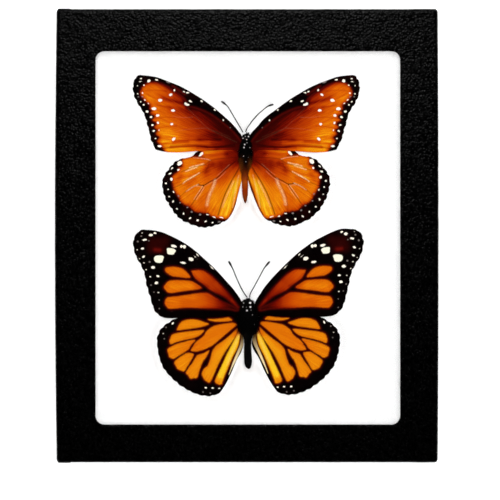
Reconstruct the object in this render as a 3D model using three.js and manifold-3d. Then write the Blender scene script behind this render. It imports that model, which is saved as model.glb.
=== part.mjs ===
import * as THREE from 'three';
import { LoftGeometry } from 'three/addons/geometries/LoftGeometry.js';
import { RoundedBoxGeometry } from 'three/addons/geometries/RoundedBoxGeometry.js';
import { mergeVertices } from 'three/addons/utils/BufferGeometryUtils.js';
import Module from 'manifold-3d';

// A shallow glass-topped display box with two spread butterflies pressed between the glass and a
// fibre filling. It lies on its back with the window facing +Z, and +Y points towards the heads.
// Millimetres. The origin is the middle of the box's underside.

const wasm = await Module();
wasm.setup();

// Box
const BOX_WIDTH = 121.7;
const BOX_LENGTH = 144.2;
const BOX_DEPTH = 19;
const LID_BOARD = 1.5;
const LID_EDGE_RADIUS = 1;
const LID_RIM_HEIGHT = 0.8;
const WINDOW_WIDTH = 97.2;
const WINDOW_LENGTH = 119.1;
const WINDOW_SHIFT_X = 0.3;
const WINDOW_SHIFT_Y = -0.7;
const WINDOW_CORNER_RADIUS = 2.8;
const WINDOW_CHAMFER = 0.5;
const TRAY_BOARD = 1.3;
const GLASS_THICKNESS = 2;
const SIDE_GAP = 0.35;
const STACK_GAP = 0.1;
const BATTING_HEIGHT = 11.3;
const BATTING_EDGE_RADIUS = 2;
const BATTING_POCKET_GAP = 0.9;

// Heights worked out from the box
const FACE_BOARD_BOTTOM = BOX_DEPTH - LID_BOARD;
const LID_INSIDE_WIDTH = BOX_WIDTH - 2 * LID_BOARD;
const LID_INSIDE_LENGTH = BOX_LENGTH - 2 * LID_BOARD;
const GLASS_TOP = FACE_BOARD_BOTTOM - STACK_GAP;
const GLASS_BOTTOM = GLASS_TOP - GLASS_THICKNESS;
const TRAY_TOP = GLASS_BOTTOM - 2 * STACK_GAP;
const TRAY_WIDTH = LID_INSIDE_WIDTH - 2 * SIDE_GAP;
const TRAY_LENGTH = LID_INSIDE_LENGTH - 2 * SIDE_GAP;
const TRAY_INSIDE_WIDTH = TRAY_WIDTH - 2 * TRAY_BOARD;
const TRAY_INSIDE_LENGTH = TRAY_LENGTH - 2 * TRAY_BOARD;

// Butterflies
const WING_THICKNESS = 0.3;
const FOREWING_HEIGHT = GLASS_BOTTOM - 0.7;
const HINDWING_HEIGHT = FOREWING_HEIGHT - 0.8;
const ROOT_DIP = 0.5;
const ROOT_DIP_REACH = 5;
const PLEAT_HEIGHT = 0.1;
const SCALLOP_DEPTH = 0.25;
const POINTS_PER_SCALLOP = 3;
const EDGE_STEPS = 9;
const INNER_RING = 0.45;
const ANTENNA_RADIUS = 0.13;
const ANTENNA_CLUB_RADIUS = 0.28;
const ANTENNA_CLUB_SHARE = 0.14;
const ANTENNA_HEIGHT = GLASS_BOTTOM - 1.2;
const ANTENNA_ROOT_HEIGHT = GLASS_BOTTOM - 2.2;
const ANTENNA_STEPS = 14;
const EYE = { half: [0.65, 0.75, 0.8], out: 0.95 };
const PALP = { half: [0.25, 0.6, 0.3], out: 0.35, forward: 1, below: 0.5 };
const LEG_RADIUS = 0.2;
const LEG_HIPS = [0, -2];
// A folded leg from its hip: distance out from the middle, forward of the hip, and height
const LEG_PATH = [[0.7, 0, 11], [1.5, -1.5, 10.7], [0.7, -4.5, 11]];
const LEG_STEPS = 5;
const TUBE_SIDES = 5;
const TRUNK_ROWS = 30;
const TRUNK_SIDES = 12;
const SEGMENT_GROOVE = 0.06;
const HEAD_HEIGHT = 13;

// Each butterfly is laid out round its own middle, between the wing roots: x outwards to the right,
// y towards the head. A wing's outline runs along its leading edge, round its scalloped margin and
// back along its trailing edge. Wings are drawn for the right side; leftTurn (degrees) and leftShift
// say how the left one lies compared with its mirror image.
const UPPER_BUTTERFLY = {
  name: 'upper_butterfly',
  middle: [-0.2, 28],
  forewing: {
    leading: [[1.9, 3.7], [2.6, 5.7], [7.5, 10.5], [12.3, 14.4], [17.1, 17.5], [21.9, 20.1], [26.7, 21.9],
      [30.8, 23.2], [33.4, 23.4]],
    margin: [[33.4, 23.4], [35.2, 22.6], [36.1, 20.2], [35.9, 17.3], [34.8, 14.5], [32.9, 11.5], [31.8, 8.5],
      [29.9, 2.4], [28.6, -0.5]],
    trailing: [[28.6, -0.5], [25.1, -1.1], [16.5, -0.9], [2.1, -0.5]],
    hub: [8, 4],
    scallops: 11,
    leftTurn: 0,
    leftShift: [0, 0],
  },
  hindwing: {
    leading: [[2.1, -3.2], [3.7, -0.6], [7.5, 0.6], [12.3, 0.6], [15.3, -0.7], [16.6, -2], [19.1, -2.6]],
    margin: [[19.1, -2.6], [21.9, -3.5], [24.3, -5.8], [26.2, -8.6], [26.7, -10.8], [26.2, -14], [25, -16.8],
      [21.1, -21.9], [18.1, -23.6], [15, -24.8], [11.7, -24.7], [8.5, -23.8], [5.9, -22.4]],
    trailing: [[5.9, -22.4], [4.5, -20.4], [3.1, -17.1], [1.6, -11.2], [1.6, -7.7]],
    hub: [9, -9],
    scallops: 18,
    leftTurn: 1.7,
    leftShift: [-0.5, 0],
  },
  bodyShift: -0.3,
  // Distance forward, half width, half height and height of the middle, from the tail to the head
  body: [[-17.8, 0.1, 0.1, 13.2], [-17.3, 0.4, 0.4, 13.2], [-16, 0.75, 0.8, 13.1], [-14, 0.9, 1, 13],
    [-11, 0.95, 1.05, 12.9], [-8.5, 1.1, 1.2, 12.8], [-6.5, 1.3, 1.5, 12.7], [-5, 1.35, 1.6, 12.6],
    [-3.5, 1.7, 2, 12.5], [-1, 1.9, 2.2, 12.5], [1, 1.6, 1.9, 12.6], [2.2, 0.8, 1, 12.9], [3, 1.05, 1.1, 13],
    [3.9, 1.1, 1.1, 13], [4.4, 0.8, 0.8, 13], [4.7, 0.2, 0.2, 13]],
  abdomenEnd: -5,
  headMiddle: 3.6,
  antennaRight: [[0.4, 5.2], [1.1, 8], [3.1, 10.2], [5, 12], [6.6, 13.4], [8.3, 13.9]],
  antennaLeft: [[-1.1, 5.1], [-1.7, 6.2], [-3.3, 8.9], [-4.9, 11.6], [-6, 13.4], [-7.9, 14.9]],
};

const LOWER_BUTTERFLY = {
  name: 'lower_butterfly',
  middle: [0.5, -24.3],
  forewing: {
    leading: [[2.6, 2.6], [3, 4.6], [6.9, 10], [11.7, 15], [16.5, 19.4], [21.2, 22.7], [26, 25.1],
      [29.5, 26.3], [32.4, 26.5]],
    margin: [[32.4, 26.5], [34.7, 26.2], [36.3, 24.3], [36.7, 21.7], [35.9, 18.3], [34.2, 15.3], [32.8, 12.4],
      [32.1, 9.2], [31.3, 5.7], [30.5, 2.6], [29, 0.1], [26.6, -1.3]],
    trailing: [[26.6, -1.3], [23.3, -1.6], [10.1, -1.5], [2.8, -1]],
    hub: [9, 5],
    scallops: 12,
    leftTurn: 0.7,
    leftShift: [0.2, 0],
  },
  hindwing: {
    leading: [[2.9, -4.5], [4.3, -0.6], [8.5, 0.5], [14.9, 0.6], [19.7, -0.2], [23.2, -1.7]],
    margin: [[23.2, -1.7], [25.9, -3.3], [28, -5.2], [29.2, -8.1], [29, -11.2], [28.4, -14.4], [27, -17.7],
      [24.6, -20.6], [21.6, -23.2], [18.2, -25.2], [14.9, -26.3], [11.7, -26.4], [9.1, -25.4]],
    trailing: [[9.1, -25.4], [7.2, -22.6], [5.3, -18.7], [3.2, -14.3], [1.9, -11.3], [2.1, -8.3]],
    hub: [11, -10],
    scallops: 16,
    leftTurn: 0,
    leftShift: [0, -0.4],
  },
  bodyShift: 0,
  body: [[-18.3, 0.15, 0.15, 13], [-18, 0.5, 0.5, 13], [-16.8, 1, 1.1, 12.9], [-15, 1.2, 1.35, 12.8],
    [-12.8, 1.15, 1.3, 12.8], [-10.5, 0.9, 1.1, 12.8], [-9.2, 1.1, 1.3, 12.7], [-7.5, 1.5, 1.7, 12.6],
    [-5, 2, 2.1, 12.5], [-2.5, 2.2, 2.3, 12.5], [0, 1.9, 2, 12.5], [1.7, 1, 1.1, 12.8], [2.4, 1.2, 1.2, 12.9],
    [3.3, 1.2, 1.2, 13], [3.9, 0.8, 0.8, 13], [4.1, 0.2, 0.2, 13]],
  abdomenEnd: -9,
  headMiddle: 3,
  antennaRight: [[0.4, 4.6], [0.5, 5.6], [1.8, 8], [3.7, 11.5], [5, 13.9], [6.7, 16]],
  antennaLeft: [[-0.4, 4.6], [-1.1, 5.5], [-2.4, 7.7], [-4, 11.2], [-5.1, 13.9], [-6.3, 16.1]],
};

// Solids: a closed geometry becomes one that can be joined and cut
function solid(geometry) {
  const bare = new THREE.BufferGeometry();
  bare.setAttribute('position', geometry.attributes.position);
  bare.setIndex(geometry.index);
  const merged = mergeVertices(bare);
  const vertProperties = new Float32Array(merged.attributes.position.array);
  const triVerts = new Uint32Array(merged.index.array);
  return new wasm.Manifold(new wasm.Mesh({ numProp: 3, vertProperties, triVerts }));
}

function geometryOf(manifold) {
  const mesh = manifold.getMesh();
  const geometry = new THREE.BufferGeometry();
  geometry.setAttribute('position', new THREE.BufferAttribute(mesh.vertProperties, 3));
  geometry.setIndex(new THREE.BufferAttribute(mesh.triVerts, 1));
  geometry.computeVertexNormals();
  return geometry;
}

function box(width, length, bottom, top) {
  const geometry = new THREE.BoxGeometry(width, length, top - bottom);
  return geometry.translate(0, 0, (top + bottom) / 2);
}

function roundedBox(width, length, bottom, top, radius) {
  const geometry = new RoundedBoxGeometry(width, length, top - bottom, 2, radius);
  return geometry.translate(0, 0, (top + bottom) / 2);
}

function roundedRectangle(width, length, radius) {
  const x = width / 2 - radius;
  const y = length / 2 - radius;
  const shape = new THREE.Shape();
  shape.absarc(x, y, radius, 0, Math.PI / 2);
  shape.absarc(-x, y, radius, Math.PI / 2, Math.PI);
  shape.absarc(-x, -y, radius, Math.PI, 1.5 * Math.PI);
  shape.absarc(x, -y, radius, 1.5 * Math.PI, 2 * Math.PI);
  shape.closePath();
  return shape;
}

// The window's cutter: straight sides, then a chamfer that opens towards the face of the lid
function windowCutter() {
  const outline = roundedRectangle(WINDOW_WIDTH, WINDOW_LENGTH, WINDOW_CORNER_RADIUS);
  const straight = new THREE.ExtrudeGeometry(outline, {
    depth: 2 * LID_BOARD, bevelEnabled: false, curveSegments: 6,
  });
  const flared = new THREE.ExtrudeGeometry(outline, {
    depth: LID_BOARD, bevelSize: WINDOW_CHAMFER, bevelThickness: WINDOW_CHAMFER, bevelSegments: 1,
    curveSegments: 6,
  });
  straight.translate(WINDOW_SHIFT_X, WINDOW_SHIFT_Y, FACE_BOARD_BOTTOM - LID_BOARD / 2);
  flared.translate(WINDOW_SHIFT_X, WINDOW_SHIFT_Y, BOX_DEPTH);
  return solid(straight).add(solid(flared));
}

function lidGeometry() {
  const block = solid(roundedBox(BOX_WIDTH, BOX_LENGTH, -BOX_DEPTH, BOX_DEPTH, LID_EDGE_RADIUS));
  const belowRim = solid(box(2 * BOX_WIDTH, 2 * BOX_LENGTH, -2 * BOX_DEPTH, LID_RIM_HEIGHT));
  const inside = solid(box(LID_INSIDE_WIDTH, LID_INSIDE_LENGTH, -BOX_DEPTH, FACE_BOARD_BOTTOM));
  return geometryOf(block.subtract(belowRim).subtract(inside).subtract(windowCutter()));
}

function glassGeometry() {
  return box(LID_INSIDE_WIDTH - 2 * SIDE_GAP, LID_INSIDE_LENGTH - 2 * SIDE_GAP, GLASS_BOTTOM, GLASS_TOP);
}

function trayGeometry() {
  const outside = solid(box(TRAY_WIDTH, TRAY_LENGTH, 0, TRAY_TOP));
  const inside = solid(box(TRAY_INSIDE_WIDTH, TRAY_INSIDE_LENGTH, TRAY_BOARD, BOX_DEPTH));
  return geometryOf(outside.subtract(inside));
}

// The filling has a pocket for each body, so that the wings lie just above it
function battingGeometry(butterflies) {
  const width = TRAY_INSIDE_WIDTH - 2 * SIDE_GAP;
  const length = TRAY_INSIDE_LENGTH - 2 * SIDE_GAP;
  const bottom = TRAY_BOARD + STACK_GAP;
  let pad = solid(roundedBox(width, length, bottom, bottom + BATTING_HEIGHT, BATTING_EDGE_RADIUS));
  for (const butterfly of butterflies) {
    const pocket = trunkGeometry(butterfly, BATTING_POCKET_GAP);
    pocket.translate(butterfly.middle[0], butterfly.middle[1], 0);
    pad = pad.subtract(solid(pocket));
  }
  return geometryOf(pad);
}

// Wings
function spline(points, steps) {
  return new THREE.SplineCurve(points.map(([x, y]) => new THREE.Vector2(x, y))).getSpacedPoints(steps);
}

// Points round a wing's outline with the height of its pleats: raised along the leading edge and at
// each notch of the margin, where a vein ends, and sunk between the veins
function wingOutline(wing) {
  const rim = spline(wing.leading, EDGE_STEPS).slice(0, -1).map((point) => ({ point, pleat: PLEAT_HEIGHT }));
  const steps = wing.scallops * POINTS_PER_SCALLOP;
  const margin = spline(wing.margin, steps);
  for (let i = 0; i < steps; i += 1) {
    const along = margin[i + 1].clone().sub(margin[Math.max(i - 1, 0)]).normalize();
    const outward = new THREE.Vector2(-along.y, along.x);
    const lobe = Math.sin((Math.PI * (i % POINTS_PER_SCALLOP)) / POINTS_PER_SCALLOP);
    const point = margin[i].clone().addScaledVector(outward, SCALLOP_DEPTH * (lobe - 0.5));
    rim.push({ point, pleat: PLEAT_HEIGHT * (1 - 2 * lobe) });
  }
  return rim.concat(spline(wing.trailing, EDGE_STEPS).map((point) => ({ point, pleat: 0 })));
}

// A thin pleated sheet round a hub point, which sinks a little towards the wing's root
function wingGeometry(wing, height) {
  const hub = new THREE.Vector2(...wing.hub);
  const rim = wingOutline(wing).reverse();
  const ring = (share, lift) => rim.map(({ point, pleat }) => {
    const at = hub.clone().lerp(point, share);
    const dip = ROOT_DIP * Math.exp(-((at.x / ROOT_DIP_REACH) ** 2));
    const raised = share > 0 ? pleat * (1 - share / 2) : 0;
    return new THREE.Vector3(at.x, at.y, height + lift - dip + raised);
  });
  const half = WING_THICKNESS / 2;
  const under = [ring(0, -half), ring(INNER_RING, -half), ring(1, -half)];
  const upper = [ring(1, half), ring(INNER_RING, half), ring(0, half)];
  return new LoftGeometry([...under, ...upper]);
}

// A round tube of changing radius along a smooth curve through the given points
function taperedTube(points, radiusAt, steps, sides) {
  const curve = new THREE.CatmullRomCurve3(points.map((point) => new THREE.Vector3(...point)));
  const frames = curve.computeFrenetFrames(steps);
  const sections = [];
  for (let i = 0; i <= steps; i += 1) {
    const centre = curve.getPointAt(i / steps);
    const section = [];
    for (let j = 0; j < sides; j += 1) {
      const angle = (2 * Math.PI * j) / sides;
      const spoke = frames.normals[i].clone().multiplyScalar(Math.cos(angle));
      spoke.addScaledVector(frames.binormals[i], Math.sin(angle));
      section.push(centre.clone().addScaledVector(spoke, radiusAt(i / steps)));
    }
    sections.push(section);
  }
  return new LoftGeometry(sections, { capStart: true, capEnd: true });
}

function antennaGeometry(points) {
  const path = points.map(([x, y], i) => [x, y, i === 0 ? ANTENNA_ROOT_HEIGHT : ANTENNA_HEIGHT]);
  const radiusAt = (share) => {
    const club = Math.max(0, (share - 1 + ANTENNA_CLUB_SHARE) / ANTENNA_CLUB_SHARE);
    return ANTENNA_RADIUS + (ANTENNA_CLUB_RADIUS - ANTENNA_RADIUS) * Math.sin(0.85 * Math.PI * club);
  };
  return taperedTube(path, radiusAt, ANTENNA_STEPS, TUBE_SIDES);
}

// Head, thorax and ringed abdomen as one body with elliptical sections, grown all round by gap
function trunkGeometry(butterfly, gap) {
  const [tail] = butterfly.body[0];
  const head = butterfly.body[butterfly.body.length - 1][0];
  const width = new THREE.SplineCurve(butterfly.body.map(([y, a]) => new THREE.Vector2(y, a)));
  const height = new THREE.SplineCurve(butterfly.body.map(([y, , b]) => new THREE.Vector2(y, b)));
  const middle = new THREE.SplineCurve(butterfly.body.map(([y, , , z]) => new THREE.Vector2(y, z)));
  const sections = [];
  for (let i = 0; i <= TRUNK_ROWS; i += 1) {
    const { x: y, y: halfWidth } = width.getPoint(i / TRUNK_ROWS);
    const halfHeight = height.getPoint(i / TRUNK_ROWS).y;
    const centre = middle.getPoint(i / TRUNK_ROWS).y;
    const groove = y < butterfly.abdomenEnd && i % 2 === 0 ? 1 - SEGMENT_GROOVE : 1;
    const stretched = y + gap * (2 * (y - tail) / (head - tail) - 1);
    const section = [];
    for (let j = 0; j < TRUNK_SIDES; j += 1) {
      const angle = (2 * Math.PI * j) / TRUNK_SIDES;
      const x = butterfly.bodyShift + (halfWidth * groove + gap) * Math.sin(angle);
      section.push(new THREE.Vector3(x, stretched, centre + (halfHeight * groove + gap) * Math.cos(angle)));
    }
    sections.push(section);
  }
  return new LoftGeometry(sections, { capStart: true, capEnd: true });
}

function ellipsoid([halfX, halfY, halfZ], x, y, z) {
  return new THREE.SphereGeometry(1, 8, 6).scale(halfX, halfY, halfZ).translate(x, y, z);
}

// Body with eyes, mouth feelers and two pairs of legs folded back along the underside
function bodyGeometry(butterfly) {
  const { bodyShift, headMiddle } = butterfly;
  let body = solid(trunkGeometry(butterfly, 0));
  for (const side of [-1, 1]) {
    const eye = ellipsoid(EYE.half, bodyShift + side * EYE.out, headMiddle, HEAD_HEIGHT);
    const palpX = bodyShift + side * PALP.out;
    const palp = ellipsoid(PALP.half, palpX, headMiddle + PALP.forward, HEAD_HEIGHT - PALP.below);
    body = body.add(solid(eye)).add(solid(palp));
    for (const hip of LEG_HIPS) {
      const path = LEG_PATH.map(([out, forward, height]) => [bodyShift + side * out, hip + forward, height]);
      body = body.add(solid(taperedTube(path, () => LEG_RADIUS, LEG_STEPS, TUBE_SIDES)));
    }
  }
  return geometryOf(body);
}

// Assembly
function part(name, geometry, color, roughness) {
  const mesh = new THREE.Mesh(geometry, new THREE.MeshStandardMaterial({ color, roughness, metalness: 0 }));
  mesh.name = name;
  return mesh;
}

function wingPair(butterfly, kind, height, color) {
  const wing = butterfly[kind];
  const right = part(`${butterfly.name}_${kind}_right`, wingGeometry(wing, height), color, 0.8);
  const left = part(`${butterfly.name}_${kind}_left`, wingGeometry(wing, height), color, 0.8);
  left.scale.x = -1;
  left.rotation.z = THREE.MathUtils.degToRad(wing.leftTurn);
  left.position.set(wing.leftShift[0], wing.leftShift[1], 0);
  return [right, left];
}

function butterflyGroup(butterfly, wingColor) {
  const group = new THREE.Group();
  group.position.set(butterfly.middle[0], butterfly.middle[1], 0);
  group.add(part(`${butterfly.name}_body`, bodyGeometry(butterfly), 0x14100e, 0.9));
  group.add(...wingPair(butterfly, 'forewing', FOREWING_HEIGHT, wingColor));
  group.add(...wingPair(butterfly, 'hindwing', HINDWING_HEIGHT, wingColor));
  group.add(part(`${butterfly.name}_antenna_right`, antennaGeometry(butterfly.antennaRight), 0x14100e, 0.7));
  group.add(part(`${butterfly.name}_antenna_left`, antennaGeometry(butterfly.antennaLeft), 0x14100e, 0.7));
  return group;
}

const displayBox = new THREE.Group();
const glass = part('glass_pane', glassGeometry(), 0xf4f8f6, 0.02);
glass.material.transparent = true;
glass.material.opacity = 0.15;
displayBox.add(part('lid', lidGeometry(), 0x0d0d0e, 0.5));
displayBox.add(glass);
displayBox.add(part('base_tray', trayGeometry(), 0x141415, 0.6));
displayBox.add(part('fibre_batting', battingGeometry([UPPER_BUTTERFLY, LOWER_BUTTERFLY]), 0xfcfcfa, 0.95));
displayBox.add(butterflyGroup(UPPER_BUTTERFLY, 0xb4530e));
displayBox.add(butterflyGroup(LOWER_BUTTERFLY, 0xd8780c));

export default displayBox;
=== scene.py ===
import math

import bmesh
import bpy
import numpy as np
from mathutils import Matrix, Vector, noise
from mathutils.geometry import delaunay_2d_cdt


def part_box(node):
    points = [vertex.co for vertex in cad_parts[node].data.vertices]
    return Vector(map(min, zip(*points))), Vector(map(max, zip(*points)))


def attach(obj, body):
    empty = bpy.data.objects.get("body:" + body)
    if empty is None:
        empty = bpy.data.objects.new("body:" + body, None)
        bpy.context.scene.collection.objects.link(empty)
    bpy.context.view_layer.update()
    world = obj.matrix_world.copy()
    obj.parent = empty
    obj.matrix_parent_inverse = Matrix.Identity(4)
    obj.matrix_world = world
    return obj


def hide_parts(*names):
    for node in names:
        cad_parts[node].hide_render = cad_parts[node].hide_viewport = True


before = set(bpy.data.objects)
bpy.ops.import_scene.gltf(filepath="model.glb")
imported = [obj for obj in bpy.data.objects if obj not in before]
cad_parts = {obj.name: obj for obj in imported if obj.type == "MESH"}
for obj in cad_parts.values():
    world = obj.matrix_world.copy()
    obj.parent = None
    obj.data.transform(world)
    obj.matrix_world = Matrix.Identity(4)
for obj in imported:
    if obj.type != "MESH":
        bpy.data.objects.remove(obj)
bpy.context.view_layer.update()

# Meshes are worked out in millimetres, in the frame of the part. Markings are placed by pixels of the
# 500 x 500 photograph, which shows the box straight from above.
MM = 0.001
PIXEL = 0.319
BOX_MIDDLE_PIXEL = np.array([246.9, 235.7])
SEED = 7
WELD = 1e-6
TINY = 1e-12
SIGNS = {"left": -1, "right": 1}


def box_of(node):
    """Lowest and highest corner of a CAD node, in mm."""
    low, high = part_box(node)
    return np.array(low) / MM, np.array(high) / MM


# Curves and fields: the steps between two chosen points, the field where no marking is near, how the
# noise falls and steps from one octave to the next, and how outlines are filled and solids smoothed
AREA_STEPS = 3
LINE_STEPS = 4
RIM_STEPS = 6
FAR_OUTSIDE = -20.0
NOISE_FALL = 0.6
NOISE_STEP = 2.0
FILL_MARGIN = 0.6
KEEP_INSIDE = 1
MERGE = 1e-7
SMOOTHING_SHARE = 0.5

LID_LOW, LID_HIGH = box_of("lid")
BATTING_LOW, BATTING_HIGH = box_of("fibre_batting")
GLASS_UNDERSIDE = box_of("glass_pane")[0][2]

# Lid
LID_BOARD = 1.5
LID_EDGE_RADIUS = 1.0
LID_PAPER = 0.22
WINDOW_HALF = np.array([97.2, 119.1]) / 2
WINDOW_MIDDLE = np.array([0.3, -0.7])
WINDOW_RADIUS = 2.8
WINDOW_EDGE_RADIUS = 0.5
SHARPEST_CORNER = 0.05
LID_GRID = 0.55
LID_CORNER_STEPS = 6
LID_WALL_RINGS = 26
LID_EDGE_RINGS = 6
LID_FACE_RINGS = 24
LID_REVEAL_RINGS = 4
LID_PLAIN_RIM = 0.5
WRINKLE_HEIGHT = 0.035
WRINKLE_SIZE = 2.6
# Paper turned over the two ends: how wide and how thick each flap is, the width of its slope, and how
# squarely a place has to face an end to lie under a flap
FLAPS = {"left": (4.5, 0.18), "right": (8.0, 0.06)}
FLAP_SLOPE = 0.3
END_FACING = 0.8
# How far each side bulges at its middle, and how much of that is lost at its ends
SIDE_BOW = {"left": (0.22, 0.57), "right": (0.11, 0.29)}

# Tray and pane, with angles in radians
TRAY_TURN_IN = 11.0
TRAY_SHEET_DROP = 0.15
TRAY_BEVEL = 0.35
GLASS_BEVEL = 0.15
FLAT_ANGLE = 0.01
SHARP_ANGLE = 1.2

# Butterflies: the middle between the wing roots, and how each left wing lies compared with the mirror
# image of the right one, as in the CAD solids
MIDDLES = {"upper": np.array([-0.2, 28.0]), "lower": np.array([0.5, -24.3])}
LEFT_TURN = {"upper_forewing": 0.0, "upper_hindwing": 1.7, "lower_forewing": 0.7, "lower_hindwing": 0.0}
LEFT_SHIFT = {
    "upper_forewing": (0.0, 0.0),
    "upper_hindwing": (-0.5, 0.0),
    "lower_forewing": (0.2, 0.0),
    "lower_hindwing": (0.0, -0.4),
}
WING_GRID = 0.165
WING_UNDER_GRID = 0.8
WING_THICKNESS = 0.12
WING_GLASS_GAP = 0.7
FOREWING_HEIGHT = GLASS_UNDERSIDE - WING_GLASS_GAP
HINDWING_DROP = 0.8
HINDWING_HEIGHT = FOREWING_HEIGHT - HINDWING_DROP
UP_FACING = 0.3
RAGGED_RIM = {"upper": 0.2, "lower": 0.1}
RAGGED_SIZE = 1.1
ROOT_DIP = 1.8
ROOT_DIP_REACH = 4.0
VEIN_HEIGHT = 0.05
BORDER_RIDGE_OUT = 0.8
BORDER_RIDGE_WIDTH = 0.6
WING_WAVE = 0.06
WING_WAVE_SIZE = 7.0

# How far each hindwing root is moved up, and the distances from the middle and from the wing's top where
# that is full and where it ends
ROOT_LIFT = 1.6
ROOT_LIFT_REACH = (3.0, 6.0)
ROOT_LIFT_DEPTH = (2.0, 4.0)

# How far each wing root is drawn in under the body, and the distances from the middle and the pixel rows
# where that is full and where it ends
ROOT_PULL = {"left": 0.6, "right": 0.8}
ROOT_PULL_REACH = (2.0, 4.0)
ROOT_PULL_ROWS = {
    "upper": {"left": (170, 186), "right": (178, 212)},
    "lower": {"left": (336, 350), "right": (344, 364)},
}

# Small pushes of a wing's outline: pixel x and y, reach, and pixels to the right and down
OUTLINE_PUSHES = {
    "upper_forewing_right": [
        (312, 151.5, 16, 0, 1.1), (344, 138, 10, 1.3, 0.2), (347.5, 122, 7, 0.6, 0),
        (267, 118.5, 10, -0.7, -0.9),
    ],
    "upper_forewing_left": [
        (180, 151.5, 16, 0, 1.1), (152, 140, 10, -1.1, 0.3), (239, 132, 5, -0.5, 0.5),
    ],
    "upper_hindwing_right": [(319, 208, 8, 0.7, 0.6), (249, 174, 8, -0.8, 0)],
    "upper_hindwing_left": [(175, 214, 8, -0.7, 0.7), (238, 196, 10, -0.5, 0)],
    "lower_forewing_left": [
        (146, 285, 16, -1.7, 0.1), (157, 313, 12, -0.9, 1.3), (170, 318, 8, 0, 0.5), (150, 230, 8, 0, -0.7),
        (205, 257, 12, -0.3, 0.4), (224, 281, 16, -0.6, 0.7),
    ],
    "lower_forewing_right": [(343, 230.3, 7, 0, -1.0), (355, 229, 4, 0.1, 0.7)],
    "lower_hindwing_right": [(267, 370, 12, -0.6, 0.3)],
    "lower_hindwing_left": [(235, 360, 8, -0.7, -0.3)],
}

# How the wings of each butterfly look: raggedness and softness of the dark borders, strength of the
# streaks, shade of the ground beside the borders, and the reddest tint of the borders
WING_LOOKS = {
    "upper": {"teeth": 3.0, "soft": 1.1, "streaks": 0.55, "shade": 0.26, "border": (30, 4, 3)},
    "lower": {"teeth": 0.8, "soft": 0.8, "streaks": 0.3, "shade": 0.05, "border": (8, 2, 2)},
}

# In pixels: how far the shade reaches into the ground, how strong the blush beside the ground is and how
# far it reaches, and where the fold turns from cream to tan. The grain runs out from the root.
SHADE_REACH = 2.0
BLUSH = 0.65
BLUSH_REACH = 1.4
FOLD_PALING = (32, 12)
GRAIN_TURN = 52
GRAIN_LENGTH = 0.045

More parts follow.
